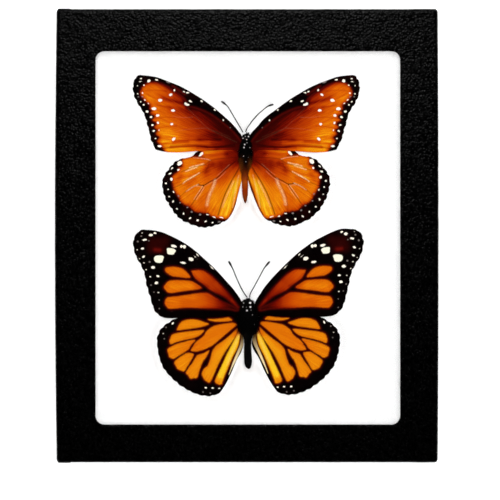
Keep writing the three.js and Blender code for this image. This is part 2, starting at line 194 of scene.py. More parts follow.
# Wing markings, as pixels of the right-hand wings. A spot is x, y, half length, half width and turn in
# degrees, counterclockwise. A line is strength, width and points. A stroke lightens or darkens the
# ground in the same way. The ground lies in one or more cells. Its tone is a slope: its value at the root,
# and what it gains for each pixel to the right and upwards.
MARKINGS = {
    "upper_forewing": {
        "root": (250, 147),
        "tone": {"base": -0.05, "right": 0.0135, "up": -0.0088, "most": 0.78},
        "strokes": [
            (-0.2, 2.0, [(305, 141.5), (312, 142.2), (319, 142.5)]),
            (0.2, 2.2, [(322, 142), (330, 142)]),
            (-0.14, 2.0, [(286, 148), (295, 148)]),
            (-0.14, 5.0, [(304, 110), (318, 109), (332, 109.5)]),
            (-0.16, 1.2, [(272, 139.5), (300, 140), (318, 141.5), (331, 144)]),
            (0.12, 2.2, [(284, 142.8), (296, 142.6), (310, 143.5), (328, 146)]),
            (-0.24, 1.1, [(258, 145.5), (280, 147), (298, 145.6), (322, 147)]),
            (0.12, 2.5, [(280, 150), (305, 149.5), (326, 150)]),
            (0.06, 4.0, [(316, 136), (326, 134), (332, 134)]),
            (-0.22, 2.0, [(306, 104), (318, 101.5), (330, 98)]),
            (0.08, 2.0, [(305, 108), (318, 104.5), (330, 104)]),
            (-0.08, 10.0, [(262, 130), (282, 118), (296, 112)]),
            (0.08, 6.0, [(334, 88), (338, 89)]),
            (-0.14, 0.8, [(318, 117.5), (328, 117), (337, 118.5)]),
            (-0.12, 0.8, [(316, 126), (327, 126.5), (335, 128)]),
            (-0.12, 0.8, [(326, 91), (338, 90), (350, 91)]),
            (-0.12, 0.8, [(322, 107), (334, 105.5), (343, 104)]),
            (-0.12, 4.0, [(277, 135.5), (285, 136), (293, 139)]),
            (-0.12, 2.0, [(276, 150), (284, 150.5)]),
            (0.1, 3.0, [(328, 110), (333, 108)]),
            (-0.08, 3.0, [(322, 144), (328, 145)]),
            (-0.05, 4.0, [(343, 88), (346, 95)]),
        ],
        "cells": [[
            (248, 152), (250, 145), (254, 139), (261, 131), (271, 122.5), (281, 115.3), (291, 110.3),
            (300, 107.5), (305.5, 107), (308, 100), (312, 95.5), (319, 91), (326, 86.5), (335, 83),
            (344, 82.8), (350, 87), (352, 93), (350, 97.5), (346, 101.8), (342.5, 105),
            (342.5, 108.5), (340, 111), (341.8, 112.8), (337.8, 115.2), (338, 117.5), (340, 120),
            (336.6, 122), (336.3, 124.5), (338, 127), (335.4, 129.3), (335.3, 131.5), (336.4, 133.8),
            (333.2, 136.4), (333.4, 138.4), (335, 141), (332.5, 144.5), (330, 147.5), (328, 150),
            (326, 154), (300, 155), (260, 155),
        ]],
        "blush": [(0.5, 1.3, [(308, 94), (314, 90), (320, 86)])],
        "veins": [
            (0.5, 0.6, [(254, 145.6), (280, 147.2), (298, 146), (322, 147.2), (331, 148.6)]),
            (0.35, 0.5, [(262, 143.6), (284, 145), (300, 144.4), (322, 145.5)]),
        ],
        "pale": [
            (0.035, 0.3, [(256, 142), (270, 135.5), (285, 128), (295, 118), (305, 108)]),
            (0.04, 0.4, [(285, 128), (300, 128.6), (316, 131)]),
            (0.02, 0.3, [(262, 137), (274, 132), (284, 129)]),
            (0.06, 0.4, [(300, 117), (310, 117.4), (320, 116)]),
        ],
        "white": [
            (277.8, 109.8, 1.3, 0.9, 35), (291, 101, 1.6, 1, 30), (269.4, 120, 1, 0.8, 60),
            (302.3, 101, 1.9, 1.1, 25), (305.6, 104.4, 3, 1.3, 12), (307, 103.4, 1.5, 1.3, 0),
            (305, 92.5, 1.9, 0.9, -10), (308.6, 91.5, 1.5, 0.9, 30), (318.3, 90, 1.3, 1, 70),
            (322, 94.5, 2, 1.4, -25), (332.5, 100.2, 2.4, 1.7, -12), (319.6, 110.3, 2.1, 1.4, 0),
            (320.7, 124, 1.6, 1.3, 0), (319, 139, 2.3, 1.5, -40), (336.3, 79.6, 2.1, 0.9, 15),
            (343.8, 80.7, 2, 1.6, -30), (351.8, 78.4, 1.5, 0.8, 0), (352.5, 81.4, 1.9, 0.7, -8),
            (348.8, 85, 1, 0.9, 0), (355.2, 85.6, 0.8, 0.8, 0), (350, 92.8, 1.1, 1, 90),
            (355, 93.6, 0.9, 0.9, 0), (347.8, 99.8, 1.4, 0.9, 35), (351.9, 101.4, 1.1, 0.9, 0),
            (344.3, 103.3, 1.3, 0.7, 30), (349, 104.7, 1.1, 1, -40), (338.6, 108.5, 2.7, 1.7, 5),
            (345.5, 111.4, 1.6, 1.3, 15), (335, 115.3, 1.9, 1.5, -15), (341.7, 116.9, 1.7, 1.2, -25),
            (334.7, 122.7, 1.4, 1.2, 60), (340.2, 124.9, 1.5, 1.1, 0), (333.6, 130.1, 1, 0.8, 90),
            (339, 130.8, 1.5, 1.1, -25), (337.1, 138.4, 1.1, 0.8, 0), (333, 146, 2.4, 1.2, 5),
        ],
        "grey": [
            (262.3, 127.5, 0.5, 0.5, 0), (324.5, 81.8, 2.2, 0.9, 20), (350.3, 96.5, 0.7, 0.7, 0),
            (354.4, 96.6, 0.7, 0.6, 0),
        ],
    },
    "upper_hindwing": {
        "root": (250, 158),
        "tone": {"base": 0.78, "right": 0.0, "up": 0.0, "most": 0.97},
        "strokes": [
            (-0.46, 8.0, [(250, 158), (262, 160.5), (270, 162.5)]),
            (-0.34, 4.0, [(280, 163), (283.5, 165), (286, 170)]),
            (-0.15, 2.5, [(311, 174), (315, 180)]),
            (-0.3, 5.0, [(248, 149), (257, 151), (263, 152.5)]),
            (-0.14, 6.0, [(249, 152), (253, 160)]),
            (-0.14, 6.0, [(251, 165), (262, 167), (279, 169.5)]),
            (-0.14, 7.0, [(256, 173), (268, 175), (284, 177)]),
            (0.16, 9.0, [(252, 182), (259, 198), (266, 213)]),
            (-0.14, 2.5, [(254, 150), (270, 152), (286, 156.5)]),
            (-0.1, 1.0, [(264, 153.4), (276, 153.6), (287, 154)]),
            (0.08, 3.0, [(290, 165), (298, 167), (306, 170)]),
            (-0.08, 2.0, [(296, 169), (304, 173), (316, 176)]),
            (0.08, 4.0, [(278, 196), (281, 206), (283, 212)]),
            (-0.12, 3.0, [(288, 208), (296, 207), (303, 203)]),
            (-0.12, 4.0, [(266, 177), (272, 182)]),
            (-0.14, 3.0, [(297, 178.5), (303, 182.5)]),
            (-0.1, 3.0, [(288, 160), (293, 161)]),
            (-0.09, 4.0, [(287, 193), (292, 199)]),
            (0.06, 3.0, [(257, 180), (262, 192), (266, 204)]),
            (-0.1, 4.0, [(279, 209), (287, 206)]),
            (0.08, 1.6, [(305, 176.5), (309, 178.5)]),
        ],
        "cells": [[
            (244, 168), (245, 150), (262, 144), (287.6, 144), (289.6, 155), (300, 154.4), (309, 157),
            (309.5, 164.5), (312.5, 166), (314, 170), (318, 172.5), (319.6, 176), (319, 183), (318, 188),
            (315.5, 192), (313, 196), (311, 200), (306, 203.5), (302, 205.5), (300, 208), (296, 210),
            (290, 211), (285, 212), (281, 215), (276, 216.5), (268, 218), (261.5, 215), (256.5, 203),
            (251, 186), (246, 180),
        ]],
        "veins": [
            (0.9, 0.55, [(256, 161), (266, 168.5), (275, 177), (283, 181), (288.5, 184), (294, 183.2)]),
            (0.6, 0.5, [(287, 155.8), (299, 155), (310, 157.6)]),
            (0.6, 0.5, [(288.5, 184.5), (292, 190), (297, 197), (301, 203)]),
            (0.2, 0.4, [(274.6, 180), (279, 188), (282.6, 195.5), (285, 204)]),
            (0.35, 0.4, [(278.6, 180), (282.6, 187.5), (286, 195), (287.6, 203), (288, 210)]),
            (0.75, 0.7, [(252.4, 167.5), (260, 179.8), (266.2, 191.2), (270.8, 202.4), (274.8, 214)]),
            (0.22, 0.6, [(254, 171), (256.6, 179.5), (259.6, 195.5), (261.2, 208)]),
            (0.5, 0.5, [(255, 157), (270, 157.6), (281, 159.4), (286, 163), (300, 166), (311, 170)]),
            (0.4, 0.5, [(282, 161), (285, 168), (292, 172), (302, 177.6), (311, 182.4), (319, 186)]),
            (0.4, 0.5, [(294, 183.2), (303, 187), (313, 195)]),
            (1.0, 0.6, [(248, 176), (252.5, 190), (257.5, 204), (263.5, 216)]),
        ],
        "pale": [
            (0.5, 0.5, [(294, 183), (300, 185.6), (306, 189.6)]),
            (0.2, 0.4, [(290, 185), (296, 184.8)]),
            (0.5, 1.3, [(276.8, 179.5), (278.4, 184.5), (280.8, 189), (283, 194), (284.7, 199),
                        (285.7, 204)]),
            (0.4, 0.4, [(289.6, 185), (293.4, 190.4), (298.6, 197.6)]),
            (0.3, 0.4, [(288, 186), (291.4, 191.4), (296, 198)]),
            (0.75, 0.6, [(288, 162.4), (292, 163.5), (297.3, 164.5), (302, 166)]),
            (0.65, 0.6, [(294.5, 165.5), (297.2, 166.5), (301, 167.7), (306, 169.5)]),
            (0.75, 0.5, [(292.5, 171.4), (300, 175.6), (306, 179), (309, 181.4)]),
            (0.35, 0.8, [(297.5, 174.2), (301, 176), (305, 178.4)]),
            (0.4, 0.4, [(281, 159), (287, 157.4), (298, 156)]),
            (0.1, 0.4, [(262, 163.8), (268, 169.4), (275, 175)]),
            (0.14, 0.4, [(266, 171), (274.6, 178.4), (281, 181.6), (287, 184.8)]),
            (0.3, 0.6, [(253, 175), (254.9, 183), (257.8, 195.5), (260, 207)]),
            (0.3, 0.8, [(258.6, 181), (263.2, 190.4), (267.4, 199), (270.2, 206)]),
        ],
        "white": [
            (311.6, 160.9, 2.6, 2.1, -20), (312.4, 162.2, 2.2, 1.6, 0), (313.3, 167.8, 1.6, 1.1, -25),
            (319.7, 166.1, 2, 0.8, -35), (321.8, 171.2, 1.9, 1, -20), (320.6, 177, 1.9, 1.4, 80),
            (326, 180.9, 1.2, 1.1, 0), (324.3, 187, 1, 0.9, 0), (318.9, 189.7, 1.3, 0.9, 60),
            (323.3, 194.2, 1.1, 0.9, 0), (319.6, 199.3, 1.5, 1, -60), (315.8, 206.8, 1.2, 1, 0),
            (309.4, 211.7, 1.3, 1, 90), (302.9, 216.4, 1.5, 1, -35), (295.5, 218.9, 1.4, 1.2, 0),
            (287.5, 220, 1.7, 0.9, -35), (285.7, 213.5, 1.8, 0.7, 4), (279, 216.2, 2.1, 0.8, 22),
            (271.5, 216.8, 2.7, 0.7, 20), (280.5, 221.5, 1.3, 0.8, -10), (289.8, 152.4, 2.2, 1.5, -40),
            (291, 154, 1.8, 1.1, -20),
        ],
        "grey": [
            (314, 193.9, 0.9, 0.7, 50), (312.6, 200.8, 0.7, 0.7, 0), (305.5, 205.6, 0.8, 0.7, 0),
            (301.3, 210.2, 1, 0.8, 30), (292.9, 213.2, 1.1, 0.9, 0), (274, 221, 1.3, 0.7, -15),
        ],
    },
    "lower_forewing": {
        "root": (254, 312),
        "tone": {"base": -0.02, "right": 0.0175, "up": -0.0055, "most": 0.76},
        "strokes": [
            (-0.12, 3.5, [(262, 309), (285, 308), (314, 307.5)]),
            (0.1, 4.0, [(260, 305), (268, 297), (280, 284)]),
            (-0.06, 4.0, [(262, 307), (272, 304), (278, 302)]),
            (0.16, 3.0, [(259, 306), (264, 300)]),
            (0.08, 5.0, [(276, 283.5), (288, 276), (300, 272.5)]),
            (-0.1, 2.0, [(290, 286), (298, 280.5), (303, 274)]),
            (-0.07, 4.0, [(302, 301.5), (314, 301.5)]),
            (0.06, 3.0, [(304, 286), (326, 286)]),
        ],
        "cells": [
            [(259.5, 307.5), (263, 302), (272.4, 289.8), (284, 277.5), (290, 272.5), (296, 269.8),
             (304.5, 270), (305, 271.5), (301, 278.5), (292, 285), (286, 290), (274, 295.5), (268, 300),
             (262, 305.5)],
            [(307, 276.5), (310, 272), (314, 268.5), (319, 266.5), (325, 266), (330, 266.5), (332, 268),
             (331, 271), (325, 275), (318, 276), (311, 277)],
            [(296, 287.5), (300, 284), (305, 281), (310, 280), (318, 279.5), (326, 279.7), (330, 281.5),
             (333.5, 286), (331.5, 289), (328.5, 291.8), (322, 291.5), (312, 290), (304, 289.3)],
            [(260, 309.4), (266, 306.4), (275, 302), (282, 297.5), (288, 293.5), (292, 292.5), (300, 292.8),
             (310, 294.3), (320, 295.5), (328, 296.2), (331, 297.5), (332.5, 301), (332, 304), (330, 306.5),
             (327, 307.7), (310, 306.8), (290, 307.8), (270, 308.3), (262, 309.8)],
        ],
        "blush": [
            (0.8, 2.0, [(337.4, 249.2), (341.5, 248.6)]),
            (0.14, 4.5, [(335, 248), (345, 248)]),
            (0.14, 5.0, [(332, 240), (344, 241)]),
        ],
        "white": [
            (341.8, 231.9, 1.9, 1.1, 10), (346, 233.8, 2.2, 1.6, 0), (354.3, 231.6, 1.1, 0.6, 0),
            (352.3, 238.5, 2.6, 1.2, -10), (354.5, 247.3, 1.9, 1.2, -15), (359.8, 248.5, 0.9, 0.7, 0),
            (353.5, 255.4, 1.8, 1.2, -30), (357.3, 257.5, 0.8, 0.7, 0), (353, 261.7, 0.9, 0.7, 0),
            (344, 266.3, 2.3, 1.7, 0), (350.9, 268.5, 0.9, 0.8, 0), (339.3, 275.2, 1.9, 1.2, 15),
            (347, 275.4, 1, 0.8, 0), (341, 281.8, 2, 1.6, 0), (338.9, 291.4, 1.1, 0.8, 0),
            (312.4, 246, 1.7, 2, 0), (315.4, 245.6, 1.6, 1.6, 0), (323, 245.2, 3.3, 1.5, 15),
            (306, 258.5, 2.9, 2, 20), (314, 262, 3.1, 1.3, 12), (299.5, 254.4, 2.2, 0.65, 50),
            (301.6, 256.4, 2.6, 0.5, 45), (285.3, 267.1, 3.2, 0.65, 45),
        ],
        "cream": [
            [(321, 249.5), (324, 247.5), (329.5, 247), (330, 249.5), (329.3, 253), (324, 253.8),
             (322.5, 252.5)],
            [(333.2, 255.5), (336, 254.3), (341, 254.6), (343, 256.5), (342.5, 260), (339.5, 261.8),
             (335.3, 261.5), (333.8, 258.5)],
        ],
        "grey": [
            (355.5, 234.8, 0.8, 0.7, 0), (359, 240.2, 0.9, 0.9, 0), (348, 239.5, 0.6, 0.6, 0),
            (347.5, 260.7, 0.9, 0.8, 0), (346.3, 284, 0.7, 0.6, 0), (343.5, 291, 0.6, 0.6, 0),
            (338.3, 299, 0.5, 0.6, 0), (338.3, 307.5, 0.6, 0.6, 0),
        ],
    },
    "lower_hindwing": {
        "root": (254, 325),
        "tone": {"base": 0.86, "right": 0.0, "up": 0.0, "most": 1.0},
        "strokes": [
            (0.2, 4.5, [(259, 336), (268, 355), (277, 374)]),
            (-0.14, 2.5, [(258, 330), (262, 334)]),
            (-0.08, 7.0, [(262, 325), (278, 330), (290, 338), (299, 345)]),
            (0.03, 4.0, [(268, 340), (280, 358), (287, 372)]),
            (-0.05, 4.0, [(306, 343), (316, 348), (324, 352)]),
        ],
        "cells": [
            [(265.5, 319.5), (267, 317), (269, 316.3), (275, 317.3), (282, 318), (289, 318.3), (284, 320),
             (277, 320.5)],
            [(288.5, 323), (293, 321), (299, 319), (305, 318.3), (311, 319), (315, 320.5), (317.5, 323),
             (319.5, 327), (319.5, 329), (314, 328.5), (305, 327.2), (297, 326)],
            [(293, 329.5), (296, 329), (305, 330), (314, 331), (321, 332.3), (325, 334), (327, 338),
             (327.3, 341.5), (326, 342.8), (321, 341), (314, 339), (306, 337.3), (300, 335.5), (296, 333)],
            [(302, 339), (307, 339.5), (313, 341), (320, 343), (326, 345.5), (329.5, 348.5), (328.5, 353),
             (327.5, 356), (323.5, 357.7), (320, 355.5), (314, 352), (309, 348.5), (306, 344)],
            [(303.5, 353.5), (306, 352.2), (310, 352), (314, 354), (319, 357.5), (322.5, 361), (321, 365),
             (319, 368), (314, 370), (312, 369), (309, 364), (306, 359)],
            [(288, 349.5), (293, 352), (299, 354), (301, 356), (304, 361), (308, 366.5), (311, 371.5),
             (309, 374), (306.5, 377.5), (303, 376.8), (300, 376.5), (298.5, 372), (296.5, 366),
             (294.5, 361), (291, 356)],
            [(260, 323.5), (264, 321.8), (270, 322.3), (277, 323.5), (283, 325), (288, 328), (291, 331),
             (293, 334.5), (297, 338), (301, 341), (304, 345.5), (306, 349), (305, 350), (301, 350.3),
             (295, 349), (289, 346.5), (283, 343), (276, 337), (269, 331), (263, 326)],
            [(259.5, 327.5), (263, 330.6), (268, 335.2), (274, 340), (280.3, 344.5), (284.3, 349.5),
             (286, 356), (288, 362), (289.5, 365), (293, 368), (295, 372.5), (294, 376), (292, 379),
             (288.2, 381.4), (286, 379.5), (282.2, 371), (278.2, 362), (272.8, 352), (266, 342), (261, 334)],
            [(256.8, 329.5), (258, 330), (261.5, 336.5), (264.5, 342.5), (268, 349.3), (270.8, 354.7),
             (273.6, 361.2), (276.5, 367.3), (279.7, 374.3), (282, 380), (279.5, 382.8), (275.5, 383.2),
             (274.2, 379.5), (271.7, 373), (269.5, 368), (267, 362), (264.3, 356), (261, 350),
             (258.3, 344), (257.2, 337)],
        ],
        "fold": [[
            (251.5, 332), (255.3, 332), (256, 338), (257.2, 344), (259.6, 350), (262, 356), (264.4, 362),
            (266.4, 368), (268.2, 373.2), (267.6, 373.4), (265.4, 368), (262.3, 362), (259.4, 356),
            (256.5, 350), (253.6, 344), (252, 338),
        ]],
        "veins": [
            (0.8, 0.6, [(256.4, 334), (256.8, 338), (257.9, 344), (260.2, 350), (262.9, 356), (267.6, 368)]),
        ],
        "pale": [(0.18, 1.2, [(257.6, 333), (261.5, 343), (266, 354), (269.5, 363)])],
        "scent": [(292, 362, 3.4, 2, 65)],
        "white": [
            (324.3, 322.3, 1.9, 1, -60), (333.8, 332.4, 0.8, 0.7, 0), (277.7, 387.3, 1.3, 0.8, 0),
            (284.3, 386.9, 1.6, 1, 10), (291.2, 386.6, 1.3, 1.1, 0),
        ],
        "grey": [
            (331, 326.2, 0.7, 0.7, 0), (332.8, 337.7, 0.6, 0.6, 0), (286.7, 392.2, 0.7, 0.6, 0),
            (294, 391, 0.7, 0.6, 0),
        ],
    },
}

# Bodies: pixels across and down the body, its sides as row, left and right, white dots as spots, hair
# lengths in mm, and the rows of a fuzz of another colour on the flanks
BODIES = {
    "upper": {
        "middle": 245.5,
        "span": (133.0, 203.7),
        "thorax": (141, 169),
        "sides": [
            (133, 246, 249.4), (134.6, 242.6, 250.5), (137, 241.4, 251.3), (142, 240.8, 251.3),
            (146, 240.2, 251.2), (154, 239.9, 251), (160, 240.1, 250.6), (163.5, 240.6, 250),
            (167.5, 241, 248.8), (174, 241.3, 248.3), (180, 241.6, 248), (188, 242.1, 248),
            (195, 242.4, 247.7), (200.4, 243.6, 247), (203.5, 245, 245.8),
        ],
        "dots": [
            (248.5, 136.3, 1, 0.8, -40), (243, 138, 0.8, 0.7, 0), (245.3, 136.2, 0.7, 0.6, 0),
            (246.8, 139.5, 0.8, 0.6, 0), (244.7, 144.2, 0.8, 0.9, 0), (247, 142.5, 0.6, 0.6, 0),
            (244, 147.2, 0.7, 0.8, 0), (249.9, 147.3, 0.8, 0.7, 0), (243.5, 156, 0.4, 0.6, 0),
            (248.5, 157, 0.4, 0.4, 0), (245.8, 161.5, 0.4, 0.4, 0),
        ],
        "hair": 0.5,
        "side_hair": 1.0,
        "fuzz": (156, 186),
        "fuzz_colour": (118, 58, 14),
    },
    "lower": {
        "middle": 248.4,
        "span": (298.8, 369.3),
        "thorax": (306, 331),
        "sides": [
            (298.9, 245.4, 250.8), (301, 243, 252.6), (303, 241.6, 254), (306, 240.9, 254.5),
            (309, 240.6, 254.8), (314, 240, 256), (320, 239.4, 256.8), (326, 239.6, 256.6),
            (330, 240.6, 255.4), (334, 242, 253.6), (338, 243.1, 252.6), (342, 244, 251.4),
            (347, 244.2, 251.2), (352, 244, 251.4), (360, 244.3, 251.8), (365, 244.5, 251.7),
            (367.5, 245.7, 251.2), (369.3, 247.4, 249.8),
        ],
        "dots": [
            (250.2, 303, 1.3, 1.2, 0), (250.4, 307, 1.2, 1.1, 0), (243.6, 303.2, 0.8, 0.7, 0),
            (243, 307, 0.7, 0.7, 0), (246.3, 307.3, 0.6, 0.5, 0), (247, 310.6, 1, 0.8, 0),
            (241.5, 310.2, 0.8, 0.6, 0), (251, 310.2, 0.7, 0.6, 0), (252.3, 315, 0.5, 0.7, 0),
            (254.5, 324.5, 0.8, 0.7, 0),
        ],
        "hair": 0.6,
        "side_hair": 1.8,
        "fuzz": (334, 346),
        "fuzz_colour": (62, 46, 28),
    },
}
BODY_VOXEL = 0.11
BODY_SMOOTHING = 6
BODY_LUMP = 0.05
BODY_LUMP_SIZE = 0.5
NARROWEST_BODY = 0.5
DOT_FACING = 0.2
NO_DOT = -5.0

# Hairs: their lengths vary. They are shorter and fewer on the head and towards the tail, few on the
# underside, and keep off the white dots.
BODY_HAIRS = 4200
HAIR_RADIUS = 0.05
HAIR_RINGS = 3
HAIR_GROWTH = (0.6, 1.2)
HEAD_HAIR = 0.55
TAIL_HAIR = 0.2
UNDERSIDE_HAIR = 0.1
DOWN_FACING = -0.5
HAIRLESS_DOT = -0.4
HAIR_GLASS_GAP = 0.1
# Pixel rows before and after the end of the thorax over which the hair thins, and half the width of a body
HAIR_THINNING = (4, 8)
FLANK_PIXELS = 5
# Hairs start out from the skin, lean back and bend down
HAIR_FLATNESS = np.array([1.0, 1.0, 0.5])
HAIR_LEAN = np.array([0, -0.35, 0])
HAIR_SPREAD = 0.25
HAIR_BEND = np.array([0.0, -0.45, -0.1])
HAIR_BEND_SPREAD = 0.12
FUZZ_FADE = 8
FUZZ_SPREAD = 2.0
FUZZ_ON_FLANKS = 1.8
# A direction that sets how the strands' three sides are turned, and the share of its radius that a strand
# loses towards its tip
STRAND_SIDE = (0.3, 0.2, 1.0)
STRAND_TAPER = 0.7

# Feelers
ANTENNA_VOXEL = 0.045
ANTENNA_SMOOTHING = 8
ANTENNA_SWELL = 0.04
CLUB_SWELL = 0.08
CLUB_LENGTH = 3.4
# The upper right feeler leaves the head nearer the middle: rows and shifts to the right, in pixels
FEELER_BEND = [(106.7, 1.0), (113.7, 0.1), (120.5, 1.0), (124, 0.8), (128, -1.2), (132, -2.0)]

# Fibre filling
BATTING_GRID = 0.6
BATTING_GLASS_GAP = 0.75
BATTING_FREE_HEIGHT = GLASS_UNDERSIDE - BATTING_GLASS_GAP
BATTING_CLEARANCE = 0.25
BATTING_MOAT = 1.0
BATTING_LUMP = 0.12
BATTING_LUMP_SIZE = 5.0
BATTING_EDGE_DIP = 2.5
BATTING_EDGE_REACH = 0.9
WIDE_PASSES = 10
NARROW_PASSES = 2
# Pockets for bodies and feelers: reach round each point and gap below it. Only every so many points count.
BODY_POCKET = 0.12
FEELER_POCKET = 0.2
POCKET_GAP = 0.3
POCKET_THINNING = 9
RIM_THINNING = 4
FIBRES = 2600
FIBRE_RADIUS = 0.02
FIBRE_RINGS = 5
FIBRE_LENGTHS = (2.5, 6.0)
FIBRE_SCATTER = 0.4
FIBRE_CLIMB = (-0.02, 0.03)
FIBRE_BEND = 0.4
FIBRE_RISE = (0.05, 0.4)

# Colours as screen values from 0 to 255, apart from the glass, and how far the leather grain is bent, in m
GLASS_TINT = (0.993, 0.995, 0.993, 1.0)
LEATHER_DRIFT = 0.0009
# The leather grain's pits are painted darker than its tops, as painted shade in the creases
LEATHER_PIT_SHADE = (0, 0, 0)
LEATHER_TOP = (3, 3, 3)
FIBRE_WHITE = (254, 254, 254)
FIBRE_SHADE = (250, 250, 250)
WING_RAMP = [
    (0.0, (48, 3, 2)), (0.12, (82, 7, 2)), (0.22, (114, 14, 2)), (0.34, (145, 33, 3)),
    (0.52, (184, 62, 4)), (0.7, (208, 93, 5)), (0.78, (217, 109, 7)), (0.87, (227, 135, 11)),
    (0.95, (235, 160, 18)), (1.0, (243, 194, 34)),
]
WING_BLACK = (3, 1, 1)
WING_BLUSH = (98, 14, 9)
WING_VEIN = (66, 6, 1)
WING_PALE = (254, 222, 168)
FOLD_TAN = (96, 70, 34)
FOLD_CREAM = (238, 214, 164)
SPOT_WHITE = (254, 245, 228)
SPOT_CREAM = (250, 246, 222)
SPOT_GREY = (126, 116, 112)
DOT_WHITE = (224, 216, 218)
ANTENNA_DARK = (1, 1, 1)
ANTENNA_PALE = (7, 6, 6)
FLOOR_SHADE = (250, 250, 250)
FLOOR_WHITE = (252, 252, 252)
BODY_STOPS = {
    "upper": [
        (0.0, (4, 4, 4)), (0.42, (6, 4, 3)), (0.5, (56, 18, 5)), (0.55, (90, 33, 4)),
        (0.61, (109, 42, 11)), (0.69, (158, 68, 13)), (0.81, (134, 40, 2)), (0.92, (121, 52, 15)),
        (1.0, (56, 18, 6)),
    ],
    "lower": [(0.0, (4, 4, 4)), (0.55, (3, 3, 3)), (1.0, (7, 7, 8))],
}

# Stage: half the floor's width and how far it lies below the box, and the heights between which the
# horizon's glow fades. The camera looks straight down, so that the box falls where it does in the
# photograph.
FLOOR_HALF = 2000.0
FLOOR_DROP = 0.2
# How brightly the floor glows: painted light that lifts the box's shadow off the floor
FLOOR_GLOW = 0.5
HORIZON_FADE = (0.05, 0.25)
HORIZON_GLOW = 0.85
PHOTO_PIXELS = 500
CAMERA_DISTANCE = 3.0
CAMERA_CLIP = 50
SENSOR = 36.0


# Shapes
def to_pixels(points):
    """Photograph pixels of places given in mm."""
    return points[:, :2] * np.array([1, -1]) / PIXEL + BOX_MIDDLE_PIXEL


def raised(points, height):
    """Places in the plane with a height, or with a height each."""
    return np.column_stack([points, np.broadcast_to(height, len(points))])


def fade(value, full, none):
    """A share that is 1 where the value is full and 0 where it is none."""
    return np.clip((none - value) / (none - full), 0, 1)


def falloff(distance, reach):
    """A soft share that is 1 at no distance and nearly 0 at twice the reach."""
    return np.exp(-(distance / reach) ** 2)


def unit(vectors):
    """Vectors of length 1 with the same directions."""
    return vectors / np.maximum(np.linalg.norm(vectors, axis=1, keepdims=True), TINY)


def smooth_line(points, steps, closed):
    """A Catmull-Rom curve through the points, with some steps to each stretch."""
    points = np.asarray(points, float)
    count = len(points)
    numbers = np.arange(-1, count + 2)
    spread = points[numbers % count if closed else np.clip(numbers, 0, count - 1)]
    t = (np.arange(steps) / steps)[:, None]
    places = []
    for i in range(count if closed else count - 1):
        a, b, c, d = spread[i:i + 4]
        square, cube = 2 * a - 5 * b + 4 * c - d, 3 * b - a - 3 * c + d
        places.extend(0.5 * (2 * b + (c - a) * t + square * t ** 2 + cube * t ** 3))
    if not closed:
        places.append(points[-1])
    return np.array(places)


def distance_to(at, line):
    """Distance from each place to an open line."""
    nearest = np.full(len(at), np.inf)
    for start, end in zip(line[:-1], line[1:]):
        along = end - start
        share = np.clip(((at - start) @ along) / max(along @ along, TINY), 0, 1)
        gap = at - start - share[:, None] * along
        nearest = np.minimum(nearest, np.einsum("ij,ij->i", gap, gap))
    return np.sqrt(nearest)


def inside_field(at, loop):
    """Distance to a closed outline, above 0 inside it and below 0 outside."""
    closed = np.vstack([loop, loop[:1]])
    odd = np.zeros(len(at), bool)
    for (ax, ay), (bx, by) in zip(closed[:-1], closed[1:]):
        if ay == by:
            continue
        spans = (ay > at[:, 1]) != (by > at[:, 1])
        odd ^= spans & (at[:, 0] < ax + (at[:, 1] - ay) * (bx - ax) / (by - ay))
    return np.where(odd, 1, -1) * distance_to(at, closed)


def spot_field(at, spots):
    """How far each place lies inside the nearest of some oval spots."""
    best = np.full(len(at), FAR_OUTSIDE)
    for x, y, half_length, half_width, turn in spots:
        c, s = math.cos(math.radians(turn)), math.sin(math.radians(turn))
        dx, dy = at[:, 0] - x, y - at[:, 1]
        reach = np.hypot((dx * c + dy * s) / half_length, (dy * c - dx * s) / half_width)
        best = np.maximum(best, (1 - reach) * min(half_length, half_width))
    return best


def area_field(at, outlines):
    """How far each place lies inside the nearest of some smooth closed outlines."""
    best = np.full(len(at), FAR_OUTSIDE)
    for outline in outlines:
        best = np.maximum(best, inside_field(at, smooth_line(outline, AREA_STEPS, True)))
    return best


def line_sum(at, lines):
    """Summed strength at each place of some soft lines."""
    total = np.zeros(len(at))
    for strength, width, points in lines:
        total += strength * falloff(distance_to(at, smooth_line(points, LINE_STEPS, False)), width)
    return total


def noise_at(points, size, detail=2):
    """Smooth noise from about -1 to 1 at places in mm, with lumps of that size."""
    return np.array([noise.fractal(Vector(p) / size, NOISE_FALL, NOISE_STEP, detail) for p in points])


def quads(rows, columns, closed):
    """Faces between the neighbours in a grid of points, which may close on itself both ways."""
    faces = []
    for row in range(rows if closed else rows - 1):
        for column in range(columns if closed else columns - 1):
            here, above = row * columns, (row + 1) % rows * columns
            after = (column + 1) % columns
            faces.append((here + column, here + after, above + after, above + column))
    return faces


def linked(name, data):
    """A new object in the scene."""
    made = bpy.data.objects.new(name, data)
    bpy.context.scene.collection.objects.link(made)
    return made


def piece(name, points, faces, **attributes):
    """A smooth-shaded mesh object from places in mm, faces and one number per place for each attribute."""
    mesh = bpy.data.meshes.new(name)
    mesh.from_pydata((np.asarray(points) * MM).tolist(), [], [list(map(int, face)) for face in faces])
    mesh.polygons.foreach_set("use_smooth", np.ones(len(mesh.polygons), bool))
    for label, values in attributes.items():
        values = np.asarray(values, np.float32)
        kind, key = ("FLOAT_VECTOR", "vector") if values.ndim == 2 else ("FLOAT", "value")
        mesh.attributes.new(label, kind, "POINT").data.foreach_set(key, values.ravel())
    mesh.update()
    return linked(name, mesh)


def dress(made, material, node):
    """Gives a piece its material, ties it to the part and lets it stand for its CAD node."""
    made.data.materials.append(material)
    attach(made, "root")
    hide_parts(node)


def welded(node):
    """A CAD node's mesh with its shared corners joined, for editing."""
    mesh = bmesh.new()
    mesh.from_mesh(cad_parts[node].data)
    bmesh.ops.remove_doubles(mesh, verts=mesh.verts, dist=WELD)
    return mesh


